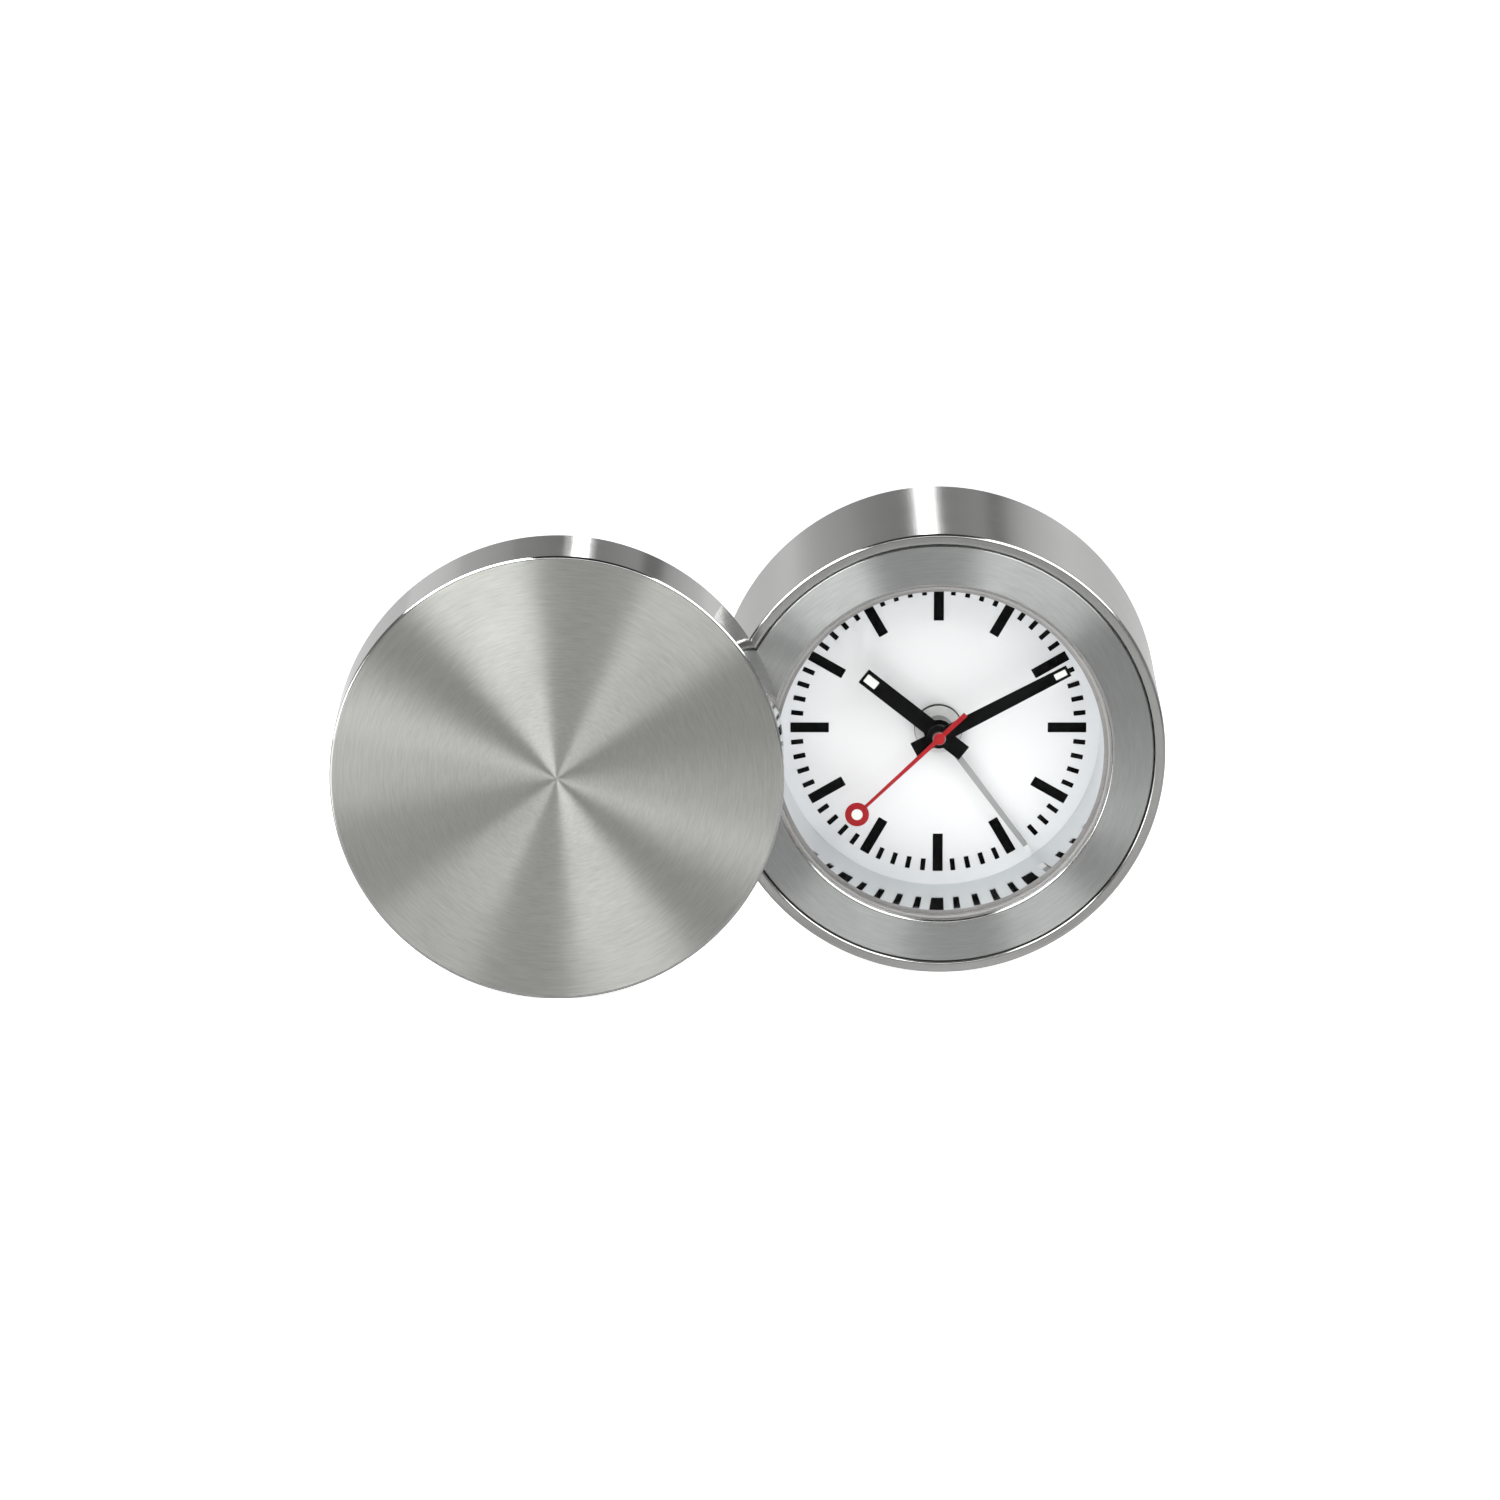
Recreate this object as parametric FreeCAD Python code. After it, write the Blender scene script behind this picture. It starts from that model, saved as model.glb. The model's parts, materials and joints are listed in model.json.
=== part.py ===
"""Travel alarm clock: a round metal case with a quartz alarm movement and a round swivel cover.

The case and the cover are two equal discs that stand on their rims. A pin parallel to their
axes joins them, so the cover swings in its own plane, from beside the dial to over it.

Row frame: +Z up, -Y is the way the dial faces, origin on the table under the middle of the
box round both discs with the cover open. Most helpers take x (right of a centre line, seen
from the front), z (above it) and depth (behind the plane of the bezel's face).
"""
import FreeCAD, Part
import math
import os

os.makedirs("parts", exist_ok=True)

# ------------------------------------------------------------------ case and cover, mm
CASE_R = 32.0              # outer radius of the case and of the cover
CASE_DEPTH = 34.0          # front rim to back rim
LID_DEPTH = 14.6           # thickness of the cover
LID_GAP = 0.2              # running gap between the cover's rim and the bezel's face
PIVOT_R = 27.15            # pivot pin to the case's centre line, and to the cover's
WALL = 1.6                 # wall of the case and of the cover
EDGE = 0.4                 # polished chamfer round the outer rims
LIP_EDGE = 0.45            # chamfers inside the case rim and round the crystal
GROOVE_EDGE = 0.1          # broken edge of the bezel beside the groove
FACE_T = 1.2               # front wall of the cover
PLAY = 0.1                 # loose fit between pieces that stay still
RUNNING = 0.05             # radial clearance of a shaft in its bore

# ------------------------------------------------------------------ front of the clock
BEZEL_IN_R = 24.3          # bezel opening
BEZEL_T = 2.1
BEZEL_GROOVE = 0.18        # open groove between the bezel and the case
BEZEL_GROOVE_DEPTH = 0.9
BEZEL_SKIRT_T = 1.0
BEZEL_SKIRT_END = 7.0
BEZEL_LIP_T = 0.8          # inner skirt that centres the reflector ring
BEZEL_LIP_END = 5.0
GASKET_T = 0.4
CRYSTAL_FRONT = 0.9        # the crystal lies below the bezel's face
RING_IN_R = 23.3           # polished wall between the crystal and the dial
DIAL_FRONT = 17.2
DIAL_T = 0.5
DIAL_R = 28.5

# ------------------------------------------------------------------ dial print
PRINT_T = 0.05
BAR_OUT_R = 21.3
HOUR_BAR = (5.55, 1.45)    # length, width
MINUTE_BAR = (1.75, 0.7)
MINUTES = 60
MINUTES_PER_HOUR_BAR = 5

# ------------------------------------------------------------------ hands: height above the dial
HAND_T = 0.3
ALARM_HAND_H = 2.0
HOUR_HAND_H = 4.4
MINUTE_HAND_H = 6.2
SECOND_HAND_H = 7.4
ALARM_ANGLE = 143.5        # clockwise from twelve
HOUR_ANGLE = 308.4
MINUTE_ANGLE = 62.2
SECOND_ANGLE = 226.5
LUME_SINK = 0.05           # luminous paint lies just below the hand's face

# a hand: tip, tail, width at the tail, width at the tip; a window: margin, length, width
HOUR_HAND = (13.8, 4.6, 2.4, 2.4)
HOUR_DISC_R = 2.1
HOUR_WINDOW = (0.4, 2.0, 1.25)
MINUTE_HAND = (20.9, 4.1, 2.15, 1.7)
MINUTE_WINDOW = (0.4, 1.8, 0.9)
MINUTE_HUB_RISE = 0.25
HAND_HUB_R = 1.65
HUB_COLLAR = 0.8
SECOND_HAND = (16.2, 5.2, 0.7, 0.42)
SECOND_RING_R = 1.73
SECOND_LUME_R = 0.8
SECOND_BOSS_R = 0.8
SECOND_BOSS_RISE = 0.3
COLLET_R = 0.98
COLLET_L = 0.35
ALARM_HAND = (22.0, 0.0, 1.0, 0.7)
ALARM_DISC_R = 2.2

# ------------------------------------------------------------------ centre stack radii
SECOND_SHAFT_R = 0.40
TUBE_WALL = 0.35
MINUTE_IN_R = SECOND_SHAFT_R + RUNNING
MINUTE_OUT_R = MINUTE_IN_R + TUBE_WALL
HOUR_IN_R = MINUTE_OUT_R + RUNNING
HOUR_OUT_R = HOUR_IN_R + TUBE_WALL
ALARM_IN_R = HOUR_OUT_R + RUNNING
ALARM_OUT_R = ALARM_IN_R + TUBE_WALL
BUSH_IN_R = ALARM_OUT_R + RUNNING
BUSH_OUT_R = 2.6
NUT_R = 3.4
NUT_T = 0.3
NUT_WASHER_T = 0.9
NUT_WASHER_OVERHANG = 0.08
NUT_LIP_T = 0.15           # the nut's front covers the end of the bush
STACK_STEP = 0.1           # a tube ends this far in front of what it carries

# ------------------------------------------------------------------ movement
MOVE_FRONT = DIAL_FRONT + DIAL_T
MOVE_DEPTH = 10.0
MOVE_REAR = MOVE_FRONT + MOVE_DEPTH
MOVE_WALL = 0.85
PLATE_T = 1.0
MOVE_HALF_W = 18.0
MOVE_LOW = -7.6
MOVE_HIGH = 19.0
PIVOT_BITE = 0.45          # how far an arbor's end enters a plate
ARBOR_R = 0.3
SETTING_ARBOR_R = 0.5
WHEEL_T = 0.6
PINION_T = 0.8
EAR = (3.2, 6.0, 1.2)      # fixing ear: reach, height, thickness
EAR_Z = 6.0
EAR_FRONT = 23.4

# depth of each wheel's front face, from the dial backwards
ALARM_LAYER = 18.9
HOUR_LAYER = 19.8
CANNON_LAYER = 20.7
CENTRE_LAYER = 21.7
THIRD_LAYER = 23.3
SECOND_LAYER = 24.2
FIFTH_LAYER = 25.1

# teeth; the rotor makes 30 turns, the second wheel 1 turn a minute
ROTOR_PINION = 8
FIFTH_WHEEL = 48
FIFTH_PINION = 10
SECOND_WHEEL = 50
SECOND_PINION = 8
THIRD_WHEEL = 64
THIRD_PINION = 8
CENTRE_WHEEL = 60
CANNON_PINION = 12
MOTION_WHEEL = 36
MOTION_PINION = 10
HOUR_WHEEL = 40
ALARM_WHEEL = 40
ALARM_PINION = 12
ADDENDUM = 0.7             # tooth height outside the pitch circle, in modules
DEDENDUM = 0.95            # tooth depth inside it
TIP_SHARE = 0.20           # tooth width at the tip, as a share of the pitch
ROOT_SHARE = 0.50          # tooth width at the root

# distance and direction (degrees, anticlockwise from three o'clock) of each arbor
CENTRE_AT = (0.0, 0.0)
THIRD_GAP = 6.12
THIRD_DIRECTION = 90.0
FIFTH_GAP = 6.0
FIFTH_DIRECTION = 28.0
ROTOR_GAP = 5.6
ROTOR_DIRECTION = 45.0
SETTING_GAP = 6.24
MOTION_DIRECTION = 195.0
ALARM_DIRECTION = -30.0

# stepping motor and electronics
MAGNET_R = 1.6
MAGNET_T = 1.4
STATOR_FRONT = 22.2
STATOR_T = 1.0
STATOR_X = (6.4, 17.0)
STATOR_Z = (4.4, 9.2)
STATOR_LEG = 2.0
STATOR_TOP = 16.0
STATOR_BORE_R = 2.0
CORE_T = 0.8
CORE_HALF_H = 0.9
COIL_Z = 14.8
COIL_R = 2.9
BOBBIN_R = 1.6
BOBBIN_FLANGE_T = 0.5
WINDING_INSET = 0.3        # the winding stays this far inside the flanges' rim
COIL_END_GAP = 0.2
BOARD_X = (-17.0, -8.5)
BOARD_Z = (4.0, 17.5)
BOARD_FRONT = 24.6
BOARD_T = 0.8
CHIP = (3.6, 0.7)          # side, thickness
QUARTZ_R = 1.0
QUARTZ_L = 6.0

# ------------------------------------------------------------------ frame inside the case
FRAME_R = 30.3
FRAME_WALL = 0.8
LEDGE_IN_R = 27.0
LEDGE_T = 1.2
LUG_GAP = 0.3              # side gap between a lug and the movement
BOSS_R = 2.2
BOSS_RING_R = 27.5
BOSS_ANGLES = (35.0, 145.0, 270.0)
SCREW_R = 0.8
SCREW_HEAD_R = 1.6
SCREW_HEAD_T = 0.9
SCREW_L = 5.0
SCREW_SLOT = 0.4

# ------------------------------------------------------------------ back of the clock
COVER_FRONT = 30.5
COVER_T = 1.5
COVER_REAR = COVER_FRONT + COVER_T
DOOR_PLAY = 0.15
DOOR_X = (-21.9, 23.3)
DOOR_Z = (-18.3, -7.8)
DOOR_CORNER = 1.5
DOOR_GRIP_Z = -10.8        # middle of the finger grooves
DOOR_GROOVE = (8.0, 0.6, 0.4)         # length, height, depth
DOOR_GROOVE_PITCH = 1.2
KNOB_R = 4.6
KNOB_T = 1.5
KNOB_GAP = 0.2
KNOB_FLUTES = 20
FLUTE_R = 0.35
BUZZER_AT = (0.0, 16.5)
BUZZER_R = 8.0
BUZZER_FRONT = 28.4
BUZZER_T = 0.4
CHAMBER_WALL = 0.9
SOUND_SLOTS = 5
SOUND_SLOT = (8.0, 0.9)    # length, height
SOUND_PITCH = 2.2
SWITCH_AT = (-15.5, 13.5)
SWITCH_TRAVEL = 3.0
SWITCH_NECK = (2.2, 3.6)   # width, height
SWITCH_FOOT = (5.0, 5.6, 0.9)
SWITCH_PROUD = 0.9
SWITCH_GAP = 0.3           # from the foot to the back cover
SWITCH_GROOVE = (0.4, 0.3)            # height, depth
SWITCH_GROOVE_PITCH = 1.0
GRIP_GROOVES = (-1, 0, 1)  # three grooves, counted from the middle one

# ------------------------------------------------------------------ battery: one LR03 cell
CELL_R = 5.25
CELL_L = 44.5
NUB_R = 1.9
NUB_L = 0.8
CELL_X0 = -21.55
CELL_Z = -13.0
CELL_DEPTH = 24.9
TRAY_X = (-24.9, 24.1)
TRAY_Z = (-19.1, -7.65)
TRAY_FRONT = 18.9
TRAY_REAR = 30.4
TRAY_PLAY = 0.15
TRAY_END_WALL = 0.6
CONTACT_T = 0.3
CONTACT_HALF = 3.0
SPRING_R = 2.2
SPRING_WIRE_R = 0.3
SPRING_PITCH = 0.9

# ------------------------------------------------------------------ cover pivot
PIN_R = 1.5
PIN_FRONT = -10.2
PIN_REAR = 9.0
PIN_BOSS_R = 2.4
GROOVE_R = 1.05
CLIP_FRONT = -9.6
CLIP_T = 0.5
CLIP_R = 2.5
CLIP_MOUTH = 1.7
WASHER_T = 0.4
HUB_R = 3.1
HUB_REAR = -0.3
HUB_STEP = -8.65           # the bore is wider in front of this depth, for the clip
HUB_CHAMBER_R = 2.75
LINER_T = 1.0
LINER_REAR = -1.0

# ------------------------------------------------------------------ frame of the row
AXIS_Z = CASE_R
CLOCK_X = PIVOT_R
LID_X = -PIVOT_R
FRONT_Y = (LID_DEPTH + LID_GAP - CASE_DEPTH) / 2
BACKWARD = FreeCAD.Vector(0, 1, 0)
OVERSHOOT = 1.0            # a cutting tool runs this far past the face it opens


# ------------------------------------------------------------------ helpers
def at(x, depth, z, centre_x=CLOCK_X):
    return FreeCAD.Vector(centre_x + x, FRONT_Y + depth, AXIS_Z + z)


def rod(radius, front, rear, place=CENTRE_AT, centre_x=CLOCK_X):
    """Cylinder along the depth direction."""
    return Part.makeCylinder(radius, rear - front, at(place[0], front, place[1], centre_x), BACKWARD)


def tube(inner, outer, front, rear, place=CENTRE_AT, centre_x=CLOCK_X):
    return rod(outer, front, rear, place, centre_x).cut(rod(inner, front, rear, place, centre_x))


def block(x_range, depth_range, z_range, centre_x=CLOCK_X):
    corner = at(x_range[0], depth_range[0], z_range[0], centre_x)
    return Part.makeBox(x_range[1] - x_range[0], depth_range[1] - depth_range[0],
                        z_range[1] - z_range[0], corner)


def turned(profile, centre_x=CLOCK_X):
    """Solid of revolution about a disc's centre line; the profile is (radius, depth) points."""
    points = [at(radius, depth, 0, centre_x) for radius, depth in profile]
    face = Part.Face(Part.makePolygon(points + points[:1]))
    return face.revolve(at(0, 0, 0, centre_x), BACKWARD, 360)


def joined(shapes):
    return shapes[0].multiFuse(shapes[1:]).removeSplitter()


def polar(distance, degrees, start=CENTRE_AT):
    angle = math.radians(degrees)
    return start[0] + distance * math.cos(angle), start[1] + distance * math.sin(angle)


def clockwise(shape, degrees, centre_x=CLOCK_X):
    shape.rotate(at(0, 0, 0, centre_x), BACKWARD, degrees)
    return shape


def save(name, shape):
    shape.exportStep(os.path.join("parts", name + ".step"))


# ------------------------------------------------------------------ gears
def pair_module(distance, teeth_a, teeth_b):
    return 2 * distance / (teeth_a + teeth_b)


def toothed_disc(teeth, module, first_tooth, front, thickness, place):
    pitch_r = teeth * module / 2
    tip_r = pitch_r + ADDENDUM * module
    root_r = pitch_r - DEDENDUM * module
    step = 2 * math.pi / teeth
    flank = ((root_r, -ROOT_SHARE), (tip_r, -TIP_SHARE), (tip_r, TIP_SHARE), (root_r, ROOT_SHARE))
    outline = []
    for index in range(teeth):
        for radius, share in flank:
            angle = first_tooth + (index + share / 2) * step
            outline.append(at(place[0] + radius * math.cos(angle), front,
                              place[1] + radius * math.sin(angle)))
    face = Part.Face(Part.makePolygon(outline + outline[:1]))
    return face.extrude(FreeCAD.Vector(0, thickness, 0))


def facing(place, partner):
    return math.atan2(partner[1] - place[1], partner[0] - place[0])


def wheel(teeth, module, layer, place, partner):
    """Wheel with a tooth gap towards its partner."""
    first_tooth = facing(place, partner) + math.pi / teeth
    return toothed_disc(teeth, module, first_tooth, layer, WHEEL_T, place)


def pinion(teeth, module, layer, place, partner):
    """Pinion with a tooth towards its partner, a little wider than the wheel it meets."""
    front = layer - (PINION_T - WHEEL_T) / 2
    return toothed_disc(teeth, module, facing(place, partner), front, PINION_T, place)


INNER_FRONT = MOVE_FRONT + PLATE_T
INNER_REAR = MOVE_REAR - PLATE_T
ARBOR_FRONT = INNER_FRONT - PIVOT_BITE
ARBOR_REAR = INNER_REAR + PIVOT_BITE
THIRD_AT = polar(THIRD_GAP, THIRD_DIRECTION)
FIFTH_AT = polar(FIFTH_GAP, FIFTH_DIRECTION)
ROTOR_AT = polar(ROTOR_GAP, ROTOR_DIRECTION, FIFTH_AT)
MOTION_AT = polar(SETTING_GAP, MOTION_DIRECTION)
ALARM_AT = polar(SETTING_GAP, ALARM_DIRECTION)
CENTRE_MODULE = pair_module(THIRD_GAP, THIRD_PINION, CENTRE_WHEEL)
THIRD_MODULE = pair_module(THIRD_GAP, SECOND_PINION, THIRD_WHEEL)
SECOND_MODULE = pair_module(FIFTH_GAP, FIFTH_PINION, SECOND_WHEEL)
FIFTH_MODULE = pair_module(ROTOR_GAP, ROTOR_PINION, FIFTH_WHEEL)
MOTION_MODULE = pair_module(SETTING_GAP, CANNON_PINION, MOTION_WHEEL)
HOUR_MODULE = pair_module(SETTING_GAP, MOTION_PINION, HOUR_WHEEL)
ALARM_MODULE = pair_module(SETTING_GAP, ALARM_PINION, ALARM_WHEEL)


# ------------------------------------------------------------------ case, bezel and crystal
def case_tube():
    inner = CASE_R - WALL
    return turned([(inner, LIP_EDGE), (inner + LIP_EDGE, 0), (CASE_R - EDGE, 0), (CASE_R, EDGE),
                   (CASE_R, CASE_DEPTH - EDGE), (CASE_R - EDGE, CASE_DEPTH),
                   (inner, CASE_DEPTH)])


def bezel_ring():
    outer = CASE_R - WALL - RUNNING
    face = CASE_R - WALL - BEZEL_GROOVE
    ring = turned([(BEZEL_IN_R + LIP_EDGE, 0), (face - GROOVE_EDGE, 0), (face, GROOVE_EDGE),
                   (face, BEZEL_GROOVE_DEPTH), (outer, BEZEL_GROOVE_DEPTH),
                   (outer, BEZEL_SKIRT_END), (outer - BEZEL_SKIRT_T, BEZEL_SKIRT_END),
                   (outer - BEZEL_SKIRT_T, BEZEL_T), (BEZEL_IN_R + RUNNING + BEZEL_LIP_T, BEZEL_T),
                   (BEZEL_IN_R + RUNNING + BEZEL_LIP_T, BEZEL_LIP_END),
                   (BEZEL_IN_R + RUNNING, BEZEL_LIP_END), (BEZEL_IN_R + RUNNING, BEZEL_T),
                   (BEZEL_IN_R, BEZEL_T), (BEZEL_IN_R, LIP_EDGE)])
    pin_place = (-PIVOT_R, 0.0)
    boss = rod(PIN_BOSS_R, BEZEL_T - OVERSHOOT, PIN_REAR, pin_place)
    return joined([ring, boss]).cut(rod(PIN_R, -OVERSHOOT, PIN_REAR + OVERSHOOT, pin_place))


def crystal():
    return rod(BEZEL_IN_R - GASKET_T, CRYSTAL_FRONT, BEZEL_T)


def crystal_gasket():
    return tube(BEZEL_IN_R - GASKET_T, BEZEL_IN_R, CRYSTAL_FRONT, BEZEL_T)


def reflector_ring():
    return tube(RING_IN_R, BEZEL_IN_R, BEZEL_T, DIAL_FRONT)


# ------------------------------------------------------------------ dial
def dial():
    return tube(BUSH_OUT_R + RUNNING, DIAL_R, DIAL_FRONT, MOVE_FRONT)


def dial_print():
    """Twelve hour bars and forty-eight minute bars."""
    front = DIAL_FRONT - PRINT_T
    marks = []
    for minute in range(MINUTES):
        length, width = MINUTE_BAR
        if minute % MINUTES_PER_HOUR_BAR == 0:
            length, width = HOUR_BAR
        bar = block((-width / 2, width / 2), (front, DIAL_FRONT), (BAR_OUT_R - length, BAR_OUT_R))
        marks.append(clockwise(bar, 360 * minute / MINUTES))
    return Part.makeCompound(marks)


NUT_REAR = DIAL_FRONT - NUT_WASHER_T
NUT_FRONT = NUT_REAR - NUT_T
BUSH_FRONT = NUT_FRONT + NUT_LIP_T


def dial_washer():
    return tube(BUSH_OUT_R, NUT_R + NUT_WASHER_OVERHANG, NUT_REAR, DIAL_FRONT)


def dial_nut():
    ring = tube(BUSH_OUT_R, NUT_R, BUSH_FRONT, NUT_REAR)
    return joined([ring, tube(BUSH_IN_R, NUT_R, NUT_FRONT, BUSH_FRONT)])


# ------------------------------------------------------------------ hands
def hand_plate(outline, height):
    """Flat hand from (across, along) points, pointing at twelve."""
    front = DIAL_FRONT - height
    points = [at(across, front, along) for across, along in outline]
    face = Part.Face(Part.makePolygon(points + points[:1]))
    return face.extrude(FreeCAD.Vector(0, HAND_T, 0))


def bar_plate(hand, height):
    """Straight hand that tapers from its tail to its tip."""
    tip, tail, tail_width, tip_width = hand
    return hand_plate([(-tail_width / 2, -tail), (tail_width / 2, -tail),
                       (tip_width / 2, tip), (-tip_width / 2, tip)], height)


def hub(radius, bore, height, front_rise, collar):
    """Hub that grips its tube: front_rise stands above the hand, collar hangs behind it."""
    front = DIAL_FRONT - height
    return tube(bore, radius, front - front_rise, front + HAND_T + collar)


def bored(shape, bore):
    return shape.cut(rod(bore, 0, DIAL_FRONT))


def window(hand, opening, height, sink):
    """Block that fills the window at a hand's tip, sunk below the hand's face."""
    margin, length, width = opening
    far = hand[0] - margin
    front = DIAL_FRONT - height
    return block((-width / 2, width / 2), (front + sink, front + HAND_T), (far - length, far))


def hour_hand_parts():
    front = DIAL_FRONT - HOUR_HAND_H
    disc = rod(HOUR_DISC_R, front, front + HAND_T)
    plate = joined([bar_plate(HOUR_HAND, HOUR_HAND_H), disc])
    hand = joined([bored(plate, HOUR_OUT_R), hub(HAND_HUB_R, HOUR_OUT_R, HOUR_HAND_H, 0, HUB_COLLAR)])
    hand = hand.cut(window(HOUR_HAND, HOUR_WINDOW, HOUR_HAND_H, 0))
    lume = window(HOUR_HAND, HOUR_WINDOW, HOUR_HAND_H, LUME_SINK)
    return clockwise(hand, HOUR_ANGLE), clockwise(lume, HOUR_ANGLE)


def minute_hand_parts():
    plate = bored(bar_plate(MINUTE_HAND, MINUTE_HAND_H), MINUTE_OUT_R)
    boss = hub(HAND_HUB_R, MINUTE_OUT_R, MINUTE_HAND_H, MINUTE_HUB_RISE, HUB_COLLAR)
    hand = joined([plate, boss]).cut(window(MINUTE_HAND, MINUTE_WINDOW, MINUTE_HAND_H, 0))
    lume = window(MINUTE_HAND, MINUTE_WINDOW, MINUTE_HAND_H, LUME_SINK)
    return clockwise(hand, MINUTE_ANGLE), clockwise(lume, MINUTE_ANGLE)


def second_hand_parts():
    """Seconds hand with a ring at its tip, and the luminous disc in the ring."""
    ring_at = (0.0, SECOND_HAND[0])
    front = DIAL_FRONT - SECOND_HAND_H
    rear = front + HAND_T
    hand = joined([bar_plate(SECOND_HAND, SECOND_HAND_H), rod(SECOND_RING_R, front, rear, ring_at),
                   rod(SECOND_BOSS_R, front - SECOND_BOSS_RISE, rear)])
    hand = hand.cut(rod(SECOND_SHAFT_R, front, rear)).cut(rod(SECOND_LUME_R, front, rear, ring_at))
    lume = rod(SECOND_LUME_R, front + LUME_SINK, rear, ring_at)
    return clockwise(hand, SECOND_ANGLE), clockwise(lume, SECOND_ANGLE)


def second_collet():
    """Bright collar that grips the seconds shaft behind the hand."""
    front = DIAL_FRONT - SECOND_HAND_H + HAND_T
    return tube(SECOND_SHAFT_R, COLLET_R, front, front + COLLET_L)


def alarm_hand():
    front = DIAL_FRONT - ALARM_HAND_H
    disc = rod(ALARM_DISC_R, front, front + HAND_T)
    hand = bored(joined([bar_plate(ALARM_HAND, ALARM_HAND_H), disc]), ALARM_OUT_R)
    return clockwise(hand, ALARM_ANGLE)


# ------------------------------------------------------------------ gear train
def second_wheel():
    shaft = rod(SECOND_SHAFT_R, DIAL_FRONT - SECOND_HAND_H, ARBOR_REAR)
    return joined([shaft, wheel(SECOND_WHEEL, SECOND_MODULE, SECOND_LAYER, CENTRE_AT, FIFTH_AT),
                   pinion(SECOND_PINION, THIRD_MODULE, THIRD_LAYER, CENTRE_AT, THIRD_AT)])


def centre_wheel():
    front = DIAL_FRONT - MINUTE_HAND_H - STACK_STEP
    rear = CENTRE_LAYER + WHEEL_T
    solid = joined([rod(MINUTE_OUT_R, front, rear),
                    wheel(CENTRE_WHEEL, CENTRE_MODULE, CENTRE_LAYER, CENTRE_AT, THIRD_AT),
                    pinion(CANNON_PINION, MOTION_MODULE, CANNON_LAYER, CENTRE_AT, MOTION_AT)])
    return solid.cut(rod(MINUTE_IN_R, front, rear))


def hour_wheel():
    front = DIAL_FRONT - HOUR_HAND_H - STACK_STEP
    rear = HOUR_LAYER + WHEEL_T
    solid = joined([rod(HOUR_OUT_R, front, rear),
                    wheel(HOUR_WHEEL, HOUR_MODULE, HOUR_LAYER, CENTRE_AT, MOTION_AT)])
    return solid.cut(rod(HOUR_IN_R, front, rear))


def alarm_wheel():
    front = DIAL_FRONT - ALARM_HAND_H - STACK_STEP
    rear = ALARM_LAYER + WHEEL_T
    solid = joined([rod(ALARM_OUT_R, front, rear),
                    wheel(ALARM_WHEEL, ALARM_MODULE, ALARM_LAYER, CENTRE_AT, ALARM_AT)])
    return solid.cut(rod(ALARM_IN_R, front, rear))


def third_wheel():
    return joined([rod(ARBOR_R, ARBOR_FRONT, ARBOR_REAR, THIRD_AT),
                   wheel(THIRD_WHEEL, THIRD_MODULE, THIRD_LAYER, THIRD_AT, CENTRE_AT),
                   pinion(THIRD_PINION, CENTRE_MODULE, CENTRE_LAYER, THIRD_AT, CENTRE_AT)])


def fifth_wheel():
    return joined([rod(ARBOR_R, ARBOR_FRONT, ARBOR_REAR, FIFTH_AT),
                   wheel(FIFTH_WHEEL, FIFTH_MODULE, FIFTH_LAYER, FIFTH_AT, ROTOR_AT),
                   pinion(FIFTH_PINION, SECOND_MODULE, SECOND_LAYER, FIFTH_AT, CENTRE_AT)])


def rotor():
    magnet_front = STATOR_FRONT - (MAGNET_T - STATOR_T) / 2
    return joined([rod(ARBOR_R, ARBOR_FRONT, ARBOR_REAR, ROTOR_AT),
                   rod(MAGNET_R, magnet_front, magnet_front + MAGNET_T, ROTOR_AT),
                   pinion(ROTOR_PINION, FIFTH_MODULE, FIFTH_LAYER, ROTOR_AT, FIFTH_AT)])


def motion_wheel():
    """Motion wheel; its arbor runs out through the back and carries the time-setting knob."""
    return joined([rod(SETTING_ARBOR_R, ARBOR_FRONT, KNOB_REAR, MOTION_AT),
                   wheel(MOTION_WHEEL, MOTION_MODULE, CANNON_LAYER, MOTION_AT, CENTRE_AT),
                   pinion(MOTION_PINION, HOUR_MODULE, HOUR_LAYER, MOTION_AT, CENTRE_AT)])


def alarm_setting_arbor():
    return joined([rod(SETTING_ARBOR_R, ARBOR_FRONT, KNOB_REAR, ALARM_AT),
                   pinion(ALARM_PINION, ALARM_MODULE, ALARM_LAYER, ALARM_AT, CENTRE_AT)])


# ------------------------------------------------------------------ movement housing
SHORT_ARBORS = (THIRD_AT, FIFTH_AT, ROTOR_AT)
SETTING_ARBORS = (MOTION_AT, ALARM_AT)


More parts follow.
